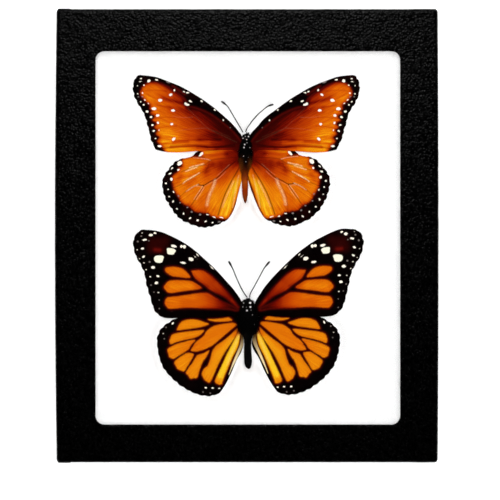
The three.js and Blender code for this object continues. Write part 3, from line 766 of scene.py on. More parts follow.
def refined(node, voxel, passes):
    """Points and faces of a CAD node remeshed finely and smoothed, in mm."""
    copy = linked("refine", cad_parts[node].data.copy())
    weld = copy.modifiers.new("weld", "WELD")
    weld.merge_threshold = WELD
    remesh = copy.modifiers.new("remesh", "REMESH")
    remesh.mode = "VOXEL"
    remesh.voxel_size = voxel * MM
    soften = copy.modifiers.new("soften", "SMOOTH")
    soften.factor = SMOOTHING_SHARE
    soften.iterations = passes
    made = copy.evaluated_get(bpy.context.evaluated_depsgraph_get()).to_mesh()
    points = np.zeros(len(made.vertices) * 3)
    made.vertices.foreach_get("co", points)
    faces = [list(polygon.vertices) for polygon in made.polygons]
    mesh = copy.data
    bpy.data.objects.remove(copy)
    bpy.data.meshes.remove(mesh)
    return points.reshape(-1, 3) / MM, faces


def normals_of(points, faces):
    """Unit normal at each point of a mesh."""
    corners = np.array([face[:3] for face in faces])
    a, b, c = (points[corners[:, k]] for k in range(3))
    across = np.cross(b - a, c - a)
    total = np.zeros_like(points)
    for k in range(3):
        np.add.at(total, corners[:, k], across)
    return unit(total)


def strands(roots, ways, bends, lengths, radius, rings):
    """Points, faces and root numbers of tapered three-sided hairs that start along ways and bend."""
    side = unit(np.cross(ways, STRAND_SIDE))
    other = np.cross(ways, side)
    levels = []
    for share in np.arange(rings) / rings:
        middle = roots + (ways * share + bends * share ** 2) * lengths[:, None]
        for k in range(3):
            angle = 2 * math.pi * k / 3
            spoke = side * math.cos(angle) + other * math.sin(angle)
            levels.append(middle + spoke * radius * (1 - STRAND_TAPER * share))
    levels.append(roots + (ways + bends) * lengths[:, None])
    size = 3 * rings + 1
    points = np.stack(levels, 1).reshape(-1, 3)
    template = []
    for ring in range(rings - 1):
        for k in range(3):
            low, after = 3 * ring + k, 3 * ring + (k + 1) % 3
            template.append((low, after, after + 3))
            template.append((low, after + 3, low + 3))
    last = 3 * (rings - 1)
    for k in range(3):
        template.append((last + k, last + (k + 1) % 3, size - 1))
    first = np.arange(len(roots))[:, None, None] * size
    faces = (np.array(template)[None] + first).reshape(-1, 3)
    return points, faces, np.repeat(np.arange(len(roots)), size)


# Materials
def linear(colour):
    """A screen colour as the linear colour that shaders take."""
    return [*(((c / 255 + 0.055) / 1.055) ** 2.4 if c > 10 else c / 255 / 12.92 for c in colour), 1.0]


class Shading:
    """The nodes of a material or a world, and short ways of adding to them."""

    def __init__(self, owner, shader):
        owner.use_nodes = True
        self.owner = owner
        self.tree = owner.node_tree
        self.shader = self.tree.nodes[shader]

    def join(self, value, socket):
        if isinstance(value, bpy.types.NodeSocket):
            self.tree.links.new(value, socket)
        else:
            socket.default_value = value

    def set(self, **values):
        """Fills the shader's own inputs, named with an underscore for each space."""
        for label, value in values.items():
            self.join(value, self.shader.inputs[label.replace("_", " ")])

    def node(self, kind, output, inputs, **settings):
        """An output of a new node with these inputs and settings."""
        made = self.tree.nodes.new(kind)
        for key, value in settings.items():
            setattr(made, key, value)
        for key, value in inputs.items():
            self.join(value, made.inputs[key])
        return made.outputs[output]

    def attribute(self, name, output="Fac"):
        return self.node("ShaderNodeAttribute", output, {}, attribute_name=name)

    def place(self, output="Object"):
        return self.node("ShaderNodeTexCoord", output, {})

    def vectors(self, operation, a, b):
        return self.node("ShaderNodeVectorMath", 0, {0: a, 1: b}, operation=operation)

    def math(self, operation, a, b):
        return self.node("ShaderNodeMath", 0, {0: a, 1: b}, operation=operation)

    def plus(self, a, b, factor):
        """a plus b times a factor."""
        return self.math("ADD", a, self.math("MULTIPLY", b, factor))

    def noise(self, vector, scale, detail=4.0, roughness=0.55, distortion=0.0, output="Fac"):
        inputs = {"Vector": vector, "Scale": scale, "Detail": detail}
        inputs.update({"Roughness": roughness, "Distortion": distortion})
        return self.node("ShaderNodeTexNoise", output, inputs)

    def wobble(self, vector, scale, detail):
        """Rough noise with a mean of about 0."""
        return self.math("SUBTRACT", self.noise(vector, scale, detail, 0.6), 0.5)

    def remap(self, value, low, high, to_low=0.0, to_high=1.0):
        inputs = {"Value": value, "From Min": low, "From Max": high, "To Min": to_low, "To Max": to_high}
        return self.node("ShaderNodeMapRange", "Result", inputs, interpolation_type="SMOOTHSTEP")

    def mix(self, share, a, b):
        return self.node("ShaderNodeMix", 2, {0: share, 6: a, 7: b}, data_type="RGBA")

    def ramp(self, value, stops):
        made = self.node("ShaderNodeValToRGB", 0, {0: value})
        elements = made.node.color_ramp.elements
        while len(elements) < len(stops):
            elements.new(1.0)
        for element, (place, colour) in zip(elements, stops):
            element.position = place
            element.color = linear(colour)
        return made

    def bump(self, height, strength, distance):
        inputs = {"Height": height, "Strength": strength, "Distance": distance}
        return self.node("ShaderNodeBump", 0, inputs)


def surface(name):
    """The nodes of a new material."""
    return Shading(bpy.data.materials.new(name), "Principled BSDF")


def leather_material(name, roughness, grain):
    """Black paper embossed with an uneven leather grain. grain scales the depth of the embossing."""
    s = surface(name)
    at = s.place()
    drift = s.noise(at, scale=500.0, detail=2.0, output="Color")
    bent = s.vectors("ADD", at, s.vectors("MULTIPLY", drift, [LEATHER_DRIFT] * 3))
    cells = s.node("ShaderNodeTexVoronoi", "Distance", {"Vector": bent, "Scale": 1300.0})
    pebbles = s.remap(cells, 0.0, 0.8, 1.0, 0.0)
    lumps = s.noise(at, scale=420.0, detail=3.0, roughness=0.6, distortion=0.5)
    fine = s.noise(at, scale=2600.0, detail=3.0)
    height = s.plus(s.math("MULTIPLY", pebbles, 0.5), lumps, 0.5)
    height = s.plus(height, fine, 0.05)
    worn = s.noise(at, scale=700.0, detail=2.0)
    s.set(
        # painted shade: the base colour is darker in the pits of the grain than on its tops
        Base_Color=s.mix(s.remap(height, 0.3, 0.8), linear(LEATHER_PIT_SHADE), linear(LEATHER_TOP)),
        Roughness=s.remap(worn, 0.3, 0.7, roughness - 0.05, roughness + 0.05),
        Normal=s.bump(height, strength=grain, distance=0.0003),
        Specular_IOR_Level=0.12,
    )
    return s.owner


def glass_material():
    """Clear pane with a trace of dust that barely roughens it."""
    s = surface("pane_glass")
    dust = s.noise(s.place(), scale=160.0, detail=5.0, roughness=0.7)
    s.set(
        Base_Color=GLASS_TINT,
        Transmission_Weight=1.0,
        IOR=1.5,
        Roughness=s.remap(dust, 0.45, 0.8, 0.0, 0.012),
    )
    return s.owner


def fibre_material():
    s = surface("white_fibre")
    at = s.place()
    cloudy = s.noise(at, scale=240.0, detail=5.0, roughness=0.65, distortion=0.6)
    combed = s.vectors("MULTIPLY", at, (1.0, 1.7, 1.0))
    threads = s.noise(combed, scale=900.0, detail=4.0, roughness=0.7, distortion=1.5)
    s.set(
        Base_Color=s.mix(s.remap(cloudy, 0.3, 0.75), linear(FIBRE_SHADE), linear(FIBRE_WHITE)),
        Roughness=s.remap(cloudy, 0.3, 0.7, 0.85, 0.98),
        Normal=s.bump(threads, strength=0.25, distance=0.0003),
        Specular_IOR_Level=0.15,
    )
    return s.owner


def wing_material(butterfly):
    """Scaled wing: toned ground inside dark borders, veins, pale streaks and spots, from the wing's own
    attributes. Streaks follow the veins outwards from the root; teeth roughen the borders along them."""
    s = surface(butterfly + "_wing")
    look = WING_LOOKS[butterfly]
    at = s.place()
    grain = s.attribute("grain", "Vector")
    streaks = s.wobble(grain, scale=1.0, detail=4.0)
    scales = s.wobble(at, scale=5200.0, detail=2.0)
    ragged = s.wobble(at, scale=2600.0, detail=3.0)
    spikes = s.wobble(s.vectors("MULTIPLY", grain, (1.6, 0.5, 1.0)), scale=1.0, detail=3.0)

    def shows(name, wobble, soft, shift=0.0):
        """Share of a marking at each place, from how far inside it the place lies."""
        edge = s.plus(s.attribute(name), ragged, wobble)
        if name == "ground":
            edge = s.plus(edge, spikes, look["teeth"])
        return s.remap(edge, shift - soft, shift + soft)

    tone = s.plus(s.attribute("tone"), streaks, look["streaks"])
    tone = s.plus(tone, scales, 0.12)
    patchy = s.remap(s.noise(at, scale=300.0, detail=3.0), 0.42, 0.7)
    dark = s.mix(s.math("MULTIPLY", patchy, 0.5), linear(WING_BLACK), linear(look["border"]))
    dark = s.mix(s.attribute("blush"), dark, linear(WING_BLUSH))
    fold = s.mix(s.attribute("far"), linear(FOLD_TAN), linear(FOLD_CREAM))
    colour = s.mix(shows("ground", wobble=1.2, soft=look["soft"]), dark, s.ramp(tone, WING_RAMP))
    colour = s.mix(shows("fold", wobble=0.3, soft=0.4), colour, fold)
    colour = s.mix(s.attribute("vein"), colour, linear(WING_VEIN))
    worn = s.math("MULTIPLY", s.attribute("pale"), s.remap(ragged, -0.16, 0.16, 0.25, 1.1))
    colour = s.mix(worn, colour, linear(WING_PALE))
    colour = s.mix(shows("grey", wobble=0.6, soft=0.4), colour, linear(SPOT_GREY))
    colour = s.mix(shows("cream", wobble=0.8, soft=0.35, shift=0.15), colour, linear(SPOT_CREAM))
    colour = s.mix(shows("white", wobble=1.4, soft=0.22, shift=0.22), colour, linear(SPOT_WHITE))
    height = s.plus(s.math("MULTIPLY", scales, 0.5), streaks, 0.6)
    s.set(
        Base_Color=colour,
        Roughness=s.remap(streaks, -0.2, 0.2, 0.75, 0.92),
        Normal=s.bump(height, strength=0.25, distance=0.00006),
        Specular_IOR_Level=0.03,
    )
    return s.owner


def body_material(butterfly):
    """Hairy black body with white dots, and fuzz of another colour on the flanks."""
    s = surface(butterfly + "_body")
    ring = s.noise(s.place(), scale=1500.0, detail=3.0)
    uneven = s.math("SUBTRACT", ring, 0.5)
    colour = s.ramp(s.plus(s.attribute("along"), uneven, 0.06), BODY_STOPS[butterfly])
    colour = s.mix(s.attribute("fuzz"), colour, linear(BODIES[butterfly]["fuzz_colour"]))
    dots = s.plus(s.attribute("dots"), uneven, 1.2)
    s.set(
        Base_Color=s.mix(s.remap(dots, -0.1, 0.45), colour, linear(DOT_WHITE)),
        Roughness=s.remap(ring, 0.3, 0.7, 0.6, 0.85),
        Normal=s.bump(ring, strength=0.4, distance=0.0001),
        Specular_IOR_Level=0.05,
    )
    return s.owner


def antenna_material():
    s = surface("antenna")
    ring = s.noise(s.vectors("MULTIPLY", s.place(), (1.0, 3.0, 1.0)), scale=2500.0, detail=2.0)
    s.set(
        Base_Color=s.mix(ring, linear(ANTENNA_DARK), linear(ANTENNA_PALE)),
        Roughness=s.remap(ring, 0.3, 0.7, 0.5, 0.7),
        Normal=s.bump(ring, strength=0.4, distance=0.00005),
        Specular_IOR_Level=0.05,
    )
    return s.owner


# Lid: a closed band of rings round the box, from the rim up the wall, over the face and into the window
def rounded_loop(half, radius, middle):
    """Points round a rectangle with round corners, the same number of them for any size."""
    corners = np.array([(1, 1), (-1, 1), (-1, -1), (1, -1)]) * (half - radius)
    arcs = []
    for i, corner in enumerate(corners):
        angles = math.pi / 2 * (i + np.arange(LID_CORNER_STEPS + 1) / LID_CORNER_STEPS)
        arcs.append(corner + radius * np.column_stack([np.cos(angles), np.sin(angles)]))
    points = []
    for i, arc in enumerate(arcs):
        steps = int(LID_HIGH[i % 2] * 2 / LID_GRID)
        shares = np.arange(1, steps)[:, None] / steps
        start, end = arc[-1], arcs[(i + 1) % 4][0]
        points += [arc, start + (end - start) * shares]
    return np.vstack(points) + middle


def lid_rings():
    """The lid's rings as (loop, height), in order round its section."""
    half = LID_HIGH[:2] + LID_PAPER
    bottom, top = LID_LOW[2], LID_HIGH[2]
    wall_top, reveal_top = top - LID_EDGE_RADIUS, top - WINDOW_EDGE_RADIUS
    quarter = np.linspace(0, math.pi / 2, LID_EDGE_RINGS)[1:]

    def outer(inset):
        return rounded_loop(half - inset, max(LID_EDGE_RADIUS - inset, SHARPEST_CORNER), 0)

    def window(grow):
        return rounded_loop(WINDOW_HALF + grow, WINDOW_RADIUS + grow, WINDOW_MIDDLE)

    rings = [(outer(0), height) for height in np.linspace(bottom, wall_top, LID_WALL_RINGS)]
    for angle in quarter:
        inset = LID_EDGE_RADIUS * (1 - math.cos(angle))
        rings.append((outer(inset), wall_top + LID_EDGE_RADIUS * math.sin(angle)))
    start, end = rings[-1][0], window(WINDOW_EDGE_RADIUS)
    rings += [(start + (end - start) * share, top) for share in np.linspace(0, 1, LID_FACE_RINGS)[1:]]
    for angle in quarter:
        grow = WINDOW_EDGE_RADIUS * (1 - math.sin(angle))
        rings.append((window(grow), top - WINDOW_EDGE_RADIUS * (1 - math.cos(angle))))
    for height in np.linspace(reveal_top, top - LID_BOARD, LID_REVEAL_RINGS)[1:]:
        rings.append((window(0), height))
    inside = outer(LID_BOARD + LID_PAPER)
    return rings + [(inside, top - LID_BOARD), (inside, bottom)]


def make_lid():
    rings = lid_rings()
    around = len(rings[0][0])
    points = np.vstack([raised(loop, height) for loop, height in rings])
    faces = quads(len(rings), around, closed=True)
    grained = np.repeat([height > LID_LOW[2] + LID_PLAIN_RIM for _, height in rings], around)
    outward = normals_of(points, faces)
    lift = WRINKLE_HEIGHT * noise_at(points, WRINKLE_SIZE, detail=3)
    ends = np.abs(outward[:, 1]) > END_FACING
    half_width, half_length = LID_HIGH[:2]
    for side, (flap, thickness) in FLAPS.items():
        from_side = half_width - SIGNS[side] * points[:, 0]
        lift += np.where(ends, thickness * fade(from_side, flap - FLAP_SLOPE, flap), 0)
    points = points + outward * (lift * grained)[:, None]
    for side, (bulge, bow) in SIDE_BOW.items():
        near = fade(SIGNS[side] * points[:, 0], half_width, WINDOW_HALF[0])
        points[:, 0] += SIGNS[side] * near * (bulge - bow * (points[:, 1] / half_length) ** 2)
    made = piece("lid_cover", points, faces)
    look = leather_material("leatherette", roughness=0.25, grain=0.58)
    dress(made, look, "lid")


# Tray and pane
def flat_faced(node):
    """A CAD node's mesh, for editing, with one face to each flat side."""
    mesh = welded(node)
    bmesh.ops.dissolve_limit(mesh, angle_limit=FLAT_ANGLE, verts=mesh.verts, edges=mesh.edges)
    return mesh


def bevelled(name, mesh, edges, width, segments):
    """An object of an edited mesh with those edges rounded."""
    bmesh.ops.bevel(mesh, geom=edges, offset=width * MM, segments=segments, profile=0.5, affect="EDGES")
    data = bpy.data.meshes.new(name)
    mesh.to_mesh(data)
    mesh.free()
    return linked(name, data)


def make_tray():
    """Bevelled board whose covering is turned in round a slightly lower sheet on the back."""
    mesh = flat_faced("base_tray")
    back = min(mesh.faces, key=lambda face: face.calc_center_median().z)
    drop = TRAY_SHEET_DROP * MM
    bmesh.ops.inset_region(mesh, faces=[back], thickness=TRAY_TURN_IN * MM)
    bmesh.ops.inset_region(mesh, faces=[back], thickness=drop, depth=-drop)
    sharp = [e for e in mesh.edges if len(e.link_faces) == 2 and e.calc_face_angle() > SHARP_ANGLE]
    made = bevelled("tray_cover", mesh, sharp, TRAY_BEVEL, segments=3)
    look = leather_material("tray_paper", roughness=0.5, grain=0.25)
    dress(made, look, "base_tray")


def make_glass():
    mesh = flat_faced("glass_pane")
    made = bevelled("window_glass", mesh, mesh.edges[:], GLASS_BEVEL, segments=2)
    made.visible_shadow = False
    dress(made, glass_material(), "glass_pane")


# Wings
def rim_of(node):
    """The upper rim of a thin CAD node, in order, in mm."""
    mesh = welded(node)
    mesh.normal_update()
    rim = [e for e in mesh.edges if sum(f.normal.z > UP_FACING for f in e.link_faces) == 1]
    beside = {}
    for edge in rim:
        a, b = edge.verts
        beside.setdefault(a, []).append(b)
        beside.setdefault(b, []).append(a)
    first = rim[0].verts[0]
    loop, last, here = [], None, first
    while here != first or not loop:
        loop.append((here.co.x / MM, here.co.y / MM))
        onward = [v for v in beside[here] if v != last]
        last, here = here, onward[0]
    mesh.free()
    return np.array(loop)


def wing_outline(kind, side):
    """A wing's outline in mm: the CAD rim with its root drawn in under the body and a ragged fringe."""
    butterfly, name = kind.split("_")
    loop = smooth_line(rim_of(f"{butterfly}_butterfly_{name}_{side}"), RIM_STEPS, True)
    out = loop[:, 0] - MIDDLES[butterfly][0]
    rows = ROOT_PULL_ROWS[butterfly][side]
    pull = fade(np.abs(out), *ROOT_PULL_REACH) * fade(to_pixels(loop)[:, 1], *rows)
    loop[:, 0] -= np.sign(out) * ROOT_PULL[side] * pull
    if name == "hindwing":
        near = fade(np.abs(out), *ROOT_LIFT_REACH)
        loop[:, 1] += ROOT_LIFT * near * fade(loop[:, 1].max() - loop[:, 1], *ROOT_LIFT_DEPTH)
    at = to_pixels(loop)
    for x, y, reach, right, down in OUTLINE_PUSHES.get(f"{kind}_{side}", []):
        share = falloff(np.hypot(at[:, 0] - x, at[:, 1] - y), reach)
        loop += share[:, None] * np.array([right, -down]) * PIXEL
    along = np.roll(loop, -1, 0) - np.roll(loop, 1, 0)
    across = unit(np.column_stack([along[:, 1], -along[:, 0]]))
    outward = unit(loop - loop[np.argmin(np.abs(out))])
    fringe = RAGGED_RIM[butterfly] * np.einsum("ij,ij->i", across, outward) ** 2
    return loop + across * (fringe * noise_at(raised(loop, 0), RAGGED_SIZE))[:, None]


def filled(loop, spacing):
    """Points and upward triangles that fill a closed outline evenly. The outline's points come first."""
    low, high = loop.min(0), loop.max(0)
    rows = np.arange(low[1], high[1], spacing * math.sqrt(3) / 2)
    columns = np.arange(low[0], high[0], spacing)
    grid = np.array([(x + spacing / 2 * (i % 2), y) for i, y in enumerate(rows) for x in columns])
    grid = grid[inside_field(grid, loop) > FILL_MARGIN * spacing]
    count = len(loop)
    edges = [(i, (i + 1) % count) for i in range(count)]
    places = [Vector(p) for p in np.vstack([loop, grid])]
    points, _, faces, *_ = delaunay_2d_cdt(places, edges, [list(range(count))], KEEP_INSIDE, MERGE)
    points, faces = np.array([tuple(p) for p in points]), np.array(faces)
    a, b, c = (points[faces[:, k]] for k in range(3))
    turned = (b[:, 0] - a[:, 0]) * (c[:, 1] - a[:, 1]) - (b[:, 1] - a[:, 1]) * (c[:, 0] - a[:, 0])
    return points, np.where(turned[:, None] > 0, faces, faces[:, ::-1])


def on_right_wing(points, kind, side):
    """Photograph pixels of places on a wing, mirrored to the right-hand one for a left wing."""
    if side == "right":
        return to_pixels(points)
    middle = MIDDLES[kind.split("_")[0]]
    turn = math.radians(LEFT_TURN[kind])
    x, y = (points[:, :2] - middle - np.array(LEFT_SHIFT[kind])).T
    back_x = x * math.cos(turn) + y * math.sin(turn)
    back_y = y * math.cos(turn) - x * math.sin(turn)
    return to_pixels(np.column_stack([-back_x, back_y]) + middle)


def wing_marks(at, marks, shade):
    """The marking attributes of a wing at photograph pixels of the right-hand wing."""
    out = at - np.array(marks["root"], float)
    reach = np.hypot(out[:, 0], out[:, 1])
    angle = np.arctan2(-out[:, 1], out[:, 0])
    slope = marks["tone"]
    tone = slope["base"] + slope["right"] * out[:, 0] - slope["up"] * out[:, 1]
    tone = np.clip(tone, 0, slope["most"]) + line_sum(at, marks["strokes"])
    ground = area_field(at, marks["cells"])
    tone = tone - shade * falloff(np.maximum(ground, 0), SHADE_REACH)
    blush = BLUSH * falloff(np.maximum(-ground, 0), BLUSH_REACH)
    scent = spot_field(at, marks.get("scent", []))
    return {
        "tone": tone,
        "ground": np.minimum(ground, -scent),
        "blush": np.maximum(blush, line_sum(at, marks.get("blush", []))),
        "vein": np.minimum(line_sum(at, marks.get("veins", [])), 1),
        "pale": np.minimum(line_sum(at, marks.get("pale", [])), 1),
        "fold": area_field(at, marks.get("fold", [])),
        "far": fade(reach, *FOLD_PALING),
        "cream": area_field(at, marks.get("cream", [])),
        "white": spot_field(at, marks["white"]),
        "grey": spot_field(at, marks["grey"]),
        "grain": raised(np.column_stack([angle * GRAIN_TURN, reach * GRAIN_LENGTH]), 0),
    }


def pressed_level(points, kind):
    """Height, at some places, of a flat wing that dips towards its root."""
    height = FOREWING_HEIGHT if "fore" in kind else HINDWING_HEIGHT
    return height - ROOT_DIP * falloff(points[:, 0] - MIDDLES[kind.split("_")[0]][0], ROOT_DIP_REACH)


def wing_level(points, kind):
    """Height of a wing's middle surface, which also waves a little."""
    return pressed_level(points, kind) + WING_WAVE * noise_at(raised(points, 0), WING_WAVE_SIZE, detail=1)


def make_wing(kind, side, material):
    butterfly, name = kind.split("_")
    loop = wing_outline(kind, side)
    upper, upper_faces = filled(loop, WING_GRID)
    under, under_faces = filled(loop, WING_UNDER_GRID)
    at = on_right_wing(np.vstack([upper, under]), kind, side)
    marks = wing_marks(at, MARKINGS[kind], WING_LOOKS[butterfly]["shade"])
    count = len(upper)
    borders = falloff(marks["ground"][:count] + BORDER_RIDGE_OUT, BORDER_RIDGE_WIDTH)
    ridge = VEIN_HEIGHT * np.maximum(marks["vein"][:count], borders)
    points = np.vstack([
        raised(upper, wing_level(upper, kind) + ridge + WING_THICKNESS / 2),
        raised(under, wing_level(under, kind) - WING_THICKNESS / 2),
    ])
    ring = np.arange(len(loop))
    after = np.roll(ring, -1)
    rim = np.column_stack([ring, ring + count, after + count, after])
    area = np.sum(loop[:, 0] * np.roll(loop[:, 1], -1) - loop[:, 1] * np.roll(loop[:, 0], -1))
    rim = rim if area > 0 else rim[:, ::-1]
    made = piece(f"{kind}_{side}", points, [*upper_faces, *(under_faces[:, ::-1] + count), *rim], **marks)
    dress(made, material, f"{butterfly}_butterfly_{name}_{side}")
    return loop


# Bodies
def fitted(points, sides):
    """Places on a body moved sideways so that it is as wide as its sides, given as row, left and right."""
    x, y = to_pixels(points).T
    rows, left, right = np.array(sides, float).T
    middles = np.arange(rows[0], rows[-1] + 1)
    spans = [x[np.abs(y - row) < 1] for row in middles]
    now_left = np.interp(y, middles, [span.min() for span in spans])
    now_right = np.interp(y, middles, [span.max() for span in spans])
    share = (x - now_left) / np.maximum(now_right - now_left, NARROWEST_BODY)
    wanted = np.interp(y, rows, left) * (1 - share) + np.interp(y, rows, right) * share
    moved = points.copy()
    moved[:, 0] += (wanted - x) * PIXEL
    return moved


def body_marks(points, outward, body):
    """How far along the body each place lies, from head to tail, and the white dots on its upper side."""
    at = to_pixels(points)
    head, tail = body["span"]
    dots = np.where(outward[:, 2] > DOT_FACING, spot_field(at, body["dots"]), NO_DOT)
    return fade(at[:, 1], tail, head), dots


def body_hairs(points, outward, dots, body, random):
    """Root numbers, fuzz shares, points, faces and owners of the hairs on a body."""
    x, y = to_pixels(points).T
    start, end = body["thorax"]
    furry = np.maximum(fade(y, end - HAIR_THINNING[0], end + HAIR_THINNING[1]), TAIL_HAIR)
    furry = furry * np.where(y < start, HEAD_HAIR, 1.0)
    chance = furry * np.where(outward[:, 2] > DOWN_FACING, 1, UNDERSIDE_HAIR) * (dots < HAIRLESS_DOT)
    roots = random.choice(len(points), BODY_HAIRS, p=chance / chance.sum())
    flank = fade(np.abs(x[roots] - body["middle"]), FLANK_PIXELS, 0) ** 2
    lengths = furry[roots] * (body["hair"] + (body["side_hair"] - body["hair"]) * flank)
    lengths = lengths * random.uniform(*HAIR_GROWTH, BODY_HAIRS)
    ways = outward[roots] * HAIR_FLATNESS + random.normal(0, HAIR_SPREAD, (BODY_HAIRS, 3))
    ways = unit(ways + HAIR_LEAN)
    bends = HAIR_BEND + random.normal(0, HAIR_BEND_SPREAD, (BODY_HAIRS, 3))
    first, last = body["fuzz"]
    row = y[roots] + random.normal(0, FUZZ_SPREAD, BODY_HAIRS)
    fuzz = fade(row, first + FUZZ_FADE, first) * fade(row, last - FUZZ_FADE, last)
    fuzz = fuzz * np.clip(flank * FUZZ_ON_FLANKS, 0, 1)
    hairs, faces, owner = strands(points[roots], ways, bends, lengths, HAIR_RADIUS, HAIR_RINGS)
    hairs[:, 2] = np.minimum(hairs[:, 2], GLASS_UNDERSIDE - HAIR_GLASS_GAP)
    return roots, fuzz, hairs, faces, owner


def make_body(butterfly, material):
    node = butterfly + "_butterfly_body"
    body = BODIES[butterfly]
    points, faces = refined(node, BODY_VOXEL, BODY_SMOOTHING)
    points = fitted(points, body["sides"])
    outward = normals_of(points, faces)
    points = points + outward * (BODY_LUMP * noise_at(points, BODY_LUMP_SIZE, detail=3))[:, None]
    along, dots = body_marks(points, outward, body)
    random = np.random.default_rng(SEED)
    roots, fuzz, hairs, hair_faces, owner = body_hairs(points, outward, dots, body, random)
    made = piece(
        butterfly + "_body",
        np.vstack([points, hairs]),
        [*faces, *(hair_faces + len(points))],
        along=np.concatenate([along, along[roots][owner]]),
        dots=np.concatenate([dots, np.full(len(hairs), NO_DOT)]),
        fuzz=np.concatenate([np.zeros(len(points)), fuzz[owner]]),
    )
    dress(made, material, node)
    return points


def make_antenna(butterfly, side, material):
    node = f"{butterfly}_butterfly_antenna_{side}"
    points, faces = refined(node, ANTENNA_VOXEL, ANTENNA_SMOOTHING)
    tip = points[np.argmax(points[:, 1])]
    club = fade(np.linalg.norm(points - tip, axis=1), CLUB_LENGTH / 2, CLUB_LENGTH)
    swell = ANTENNA_SWELL + (CLUB_SWELL - ANTENNA_SWELL) * club
    points = points + swell[:, None] * normals_of(points, faces)
    if (butterfly, side) == ("upper", "right"):
        points[:, 0] += np.interp(to_pixels(points)[:, 1], *zip(*FEELER_BEND)) * PIXEL
    made = piece(f"{butterfly}_antenna_{side}", points, faces)
    dress(made, material, node)
    return points


# Filling: a puffy pad that the glass presses flat, lower under the wings, bodies and feelers
def batting_limit(grid, wing_loops, pockets):
    """How high the filling may reach at each place, and where nothing lies between it and the glass."""
    limit = np.full(len(grid), BATTING_FREE_HEIGHT)
    free = np.ones(len(grid), bool)
    for kind, loop in wing_loops:
        covered = inside_field(grid, loop[::RIM_THINNING]) > -BATTING_MOAT
        under = pressed_level(grid, kind) - WING_THICKNESS - BATTING_CLEARANCE
        limit = np.where(covered, np.minimum(limit, under), limit)
        free &= ~covered
    for points, reach in pockets:
        for x, y, z in points[::POCKET_THINNING]:
            near = np.hypot(grid[:, 0] - x, grid[:, 1] - y) < reach
            limit = np.where(near, np.minimum(limit, z - POCKET_GAP), limit)
            free &= ~near
    return limit, free


def settle(limit, shape):
    """A soft surface under the limit, with wide dips at the wings and narrow ones at the bodies."""
    limit = limit.reshape(shape)
    lowest_wing = HINDWING_HEIGHT - ROOT_DIP - WING_THICKNESS - BATTING_CLEARANCE
    wings_only = np.where(limit < lowest_wing, BATTING_FREE_HEIGHT, limit)
    level = wings_only
    for most in [wings_only] * WIDE_PASSES + [limit] * NARROW_PASSES:
        wide = np.pad(level, 1, mode="edge")
        beside = wide[:-2, 1:-1] + wide[2:, 1:-1] + wide[1:-1, :-2] + wide[1:-1, 2:]
        level = np.minimum((beside + 2 * level) / 6, most)
    return level.ravel()


def batting_mesh(grid, level, shape):
    """Points and faces of a closed pad with that upper surface."""
    numbers = np.arange(len(grid)).reshape(shape)
    border = [*numbers[0], *numbers[1:, -1], *numbers[-1, -2::-1], *numbers[-2:0:-1, 0]]
    faces = quads(*shape, closed=False)
    base = len(grid)
    for i in range(len(border)):
        k = (i + 1) % len(border)
        faces.append((border[k], border[i], base + i, base + k))
    faces.append(tuple(base + i for i in range(len(border) - 1, -1, -1)))
    return np.vstack([raised(grid, level), raised(grid[border], BATTING_LOW[2])]), faces


def fibre_strands(grid, free, shape, random):
    """Points and faces of loose fibres that lie on the free parts of the filling."""
    roots = grid[free][random.integers(0, free.sum(), FIBRES)]
    roots = roots + random.uniform(-FIBRE_SCATTER, FIBRE_SCATTER, roots.shape)
    turn = random.uniform(0, 2 * math.pi, FIBRES)
    ways = np.column_stack([np.cos(turn), np.sin(turn), random.uniform(*FIBRE_CLIMB, FIBRES)])
    sideways = np.column_stack([-np.sin(turn), np.cos(turn), np.zeros(FIBRES)])
    bends = sideways * random.normal(0, FIBRE_BEND, (FIBRES, 1))
    lengths = random.uniform(*FIBRE_LENGTHS, FIBRES)
    rows, columns = shape
    clear = np.ones(FIBRES, bool)
    for share in (0.5, 1.0):
        places = roots + (ways * share + bends * share ** 2)[:, :2] * lengths[:, None]
        c, r = np.round((places - grid[0]) / BATTING_GRID).astype(int).T
        inside = (c > 1) & (c < columns - 2) & (r > 1) & (r < rows - 2)
        clear &= inside & free[np.clip(r, 0, rows - 1) * columns + np.clip(c, 0, columns - 1)]
    start = raised(roots, BATTING_FREE_HEIGHT + random.uniform(*FIBRE_RISE, FIBRES))
    made = strands(start[clear], ways[clear], bends[clear], lengths[clear], FIBRE_RADIUS, FIBRE_RINGS)
    return made[:2]


def make_batting(wing_loops, pockets):
    random = np.random.default_rng(SEED)
    (x_low, y_low), (x_high, y_high) = BATTING_LOW[:2], BATTING_HIGH[:2]
    xs = np.linspace(x_low, x_high, int((x_high - x_low) / BATTING_GRID) + 1)
    ys = np.linspace(y_low, y_high, int((y_high - y_low) / BATTING_GRID) + 1)
    grid = np.array([(x, y) for y in ys for x in xs])
    shape = len(ys), len(xs)
    limit, free = batting_limit(grid, wing_loops, pockets)
    lumps = np.abs(noise_at(raised(grid, 0), BATTING_LUMP_SIZE, detail=3))
    edge = np.hstack([grid - BATTING_LOW[:2], BATTING_HIGH[:2] - grid]).min(1)
    level = settle(limit, shape) - BATTING_LUMP * lumps
    level = level - BATTING_EDGE_DIP * np.exp(-edge / BATTING_EDGE_REACH)
    points, faces = batting_mesh(grid, level, shape)
    fibres, fibre_faces = fibre_strands(grid, free, shape, random)
    made = piece("filling", np.vstack([points, fibres]), [*faces, *(fibre_faces + len(points))])
    dress(made, fibre_material(), "fibre_batting")


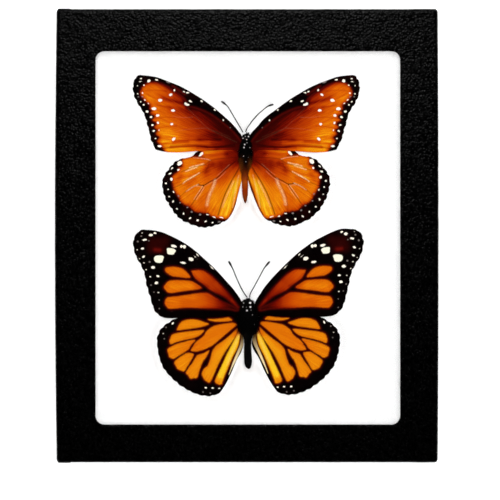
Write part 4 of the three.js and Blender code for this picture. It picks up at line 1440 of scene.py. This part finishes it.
# Stage
def make_floor():
    corners = [(-1, -1, 0), (1, -1, 0), (1, 1, 0), (-1, 1, 0)]
    made = piece("floor", np.array(corners) * FLOOR_HALF, [(0, 1, 2, 3)])
    made.location.z = -FLOOR_DROP * MM
    s = surface("pale_glowing_floor")
    cloudy = s.noise(s.place(), scale=3.0, detail=2.0)
    s.set(
        Base_Color=s.mix(cloudy, linear(FLOOR_SHADE), linear(FLOOR_WHITE)),
        Roughness=0.9,
        Specular_IOR_Level=0.1,
        # painted light: the floor glows a little, which washes out the box's shadow on it
        Emission_Color=(1, 1, 1, 1),
        Emission_Strength=FLOOR_GLOW,
    )
    made.data.materials.append(s.owner)


def make_light(name, azimuth, elevation, power, distance=1.2, size=0.6, mirrored=False):
    """A soft panel aimed at the box. Azimuth is counterclockwise from +X, in degrees. A panel that is not
    mirrored lights the box but leaves no gloss on it."""
    light = bpy.data.lights.new(name, "AREA")
    light.size = size
    light.energy = power
    made = linked(name, light)
    a, e = math.radians(azimuth), math.radians(elevation)
    made.location = Vector((math.cos(a) * math.cos(e), math.sin(a) * math.cos(e), math.sin(e))) * distance
    made.rotation_euler = (-made.location).to_track_quat("-Z", "Y").to_euler()
    made.visible_camera = False
    made.visible_transmission = False
    made.visible_glossy = mirrored


def make_world():
    """A pale band along the horizon and nothing above it, so that the pane mirrors no haze."""
    world = bpy.data.worlds.new("studio")
    bpy.context.scene.world = world
    s = Shading(world, "Background")
    up = s.node("ShaderNodeSeparateXYZ", "Z", {0: s.place("Generated")})
    s.set(Color=(1, 1, 1, 1), Strength=s.remap(up, *HORIZON_FADE, HORIZON_GLOW, 0.0))


def make_camera():
    camera = bpy.data.cameras.new("camera")
    camera.sensor_width = SENSOR
    camera.lens = SENSOR * CAMERA_DISTANCE / (PHOTO_PIXELS * PIXEL * MM)
    camera.clip_end = CAMERA_CLIP
    made = linked("camera", camera)
    x, y = (PHOTO_PIXELS / 2 - BOX_MIDDLE_PIXEL) * np.array([1, -1]) * PIXEL
    made.location = (x * MM, y * MM, LID_HIGH[2] * MM + CAMERA_DISTANCE)
    bpy.context.scene.camera = made


make_camera()
make_world()
make_floor()
make_light("overhead_panel", azimuth=90, elevation=90, power=12.9)
make_light("top_panel", azimuth=90, elevation=60, power=0.27, distance=0.36, size=0.12, mirrored=True)
make_light("far_panel", azimuth=84, elevation=52, power=1.7)
make_light("right_panel", azimuth=-8, elevation=60, power=1.7)
make_light("left_panel", azimuth=188, elevation=62, power=1.3)
make_light("bottom_panel", azimuth=272, elevation=58, power=1.1)
bpy.context.scene.view_settings.view_transform = "Standard"

make_lid()
make_tray()
make_glass()
loops, bodies, feelers = [], [], []
antenna_look = antenna_material()
for butterfly in ("upper", "lower"):
    wing_look = wing_material(butterfly)
    for kind in (butterfly + "_forewing", butterfly + "_hindwing"):
        loops += [(kind, make_wing(kind, side, wing_look)) for side in ("right", "left")]
    bodies.append((make_body(butterfly, body_material(butterfly)), BODY_POCKET))
    feelers += [(make_antenna(butterfly, side, antenna_look), FEELER_POCKET) for side in ("right", "left")]
make_batting(loops, bodies + feelers)
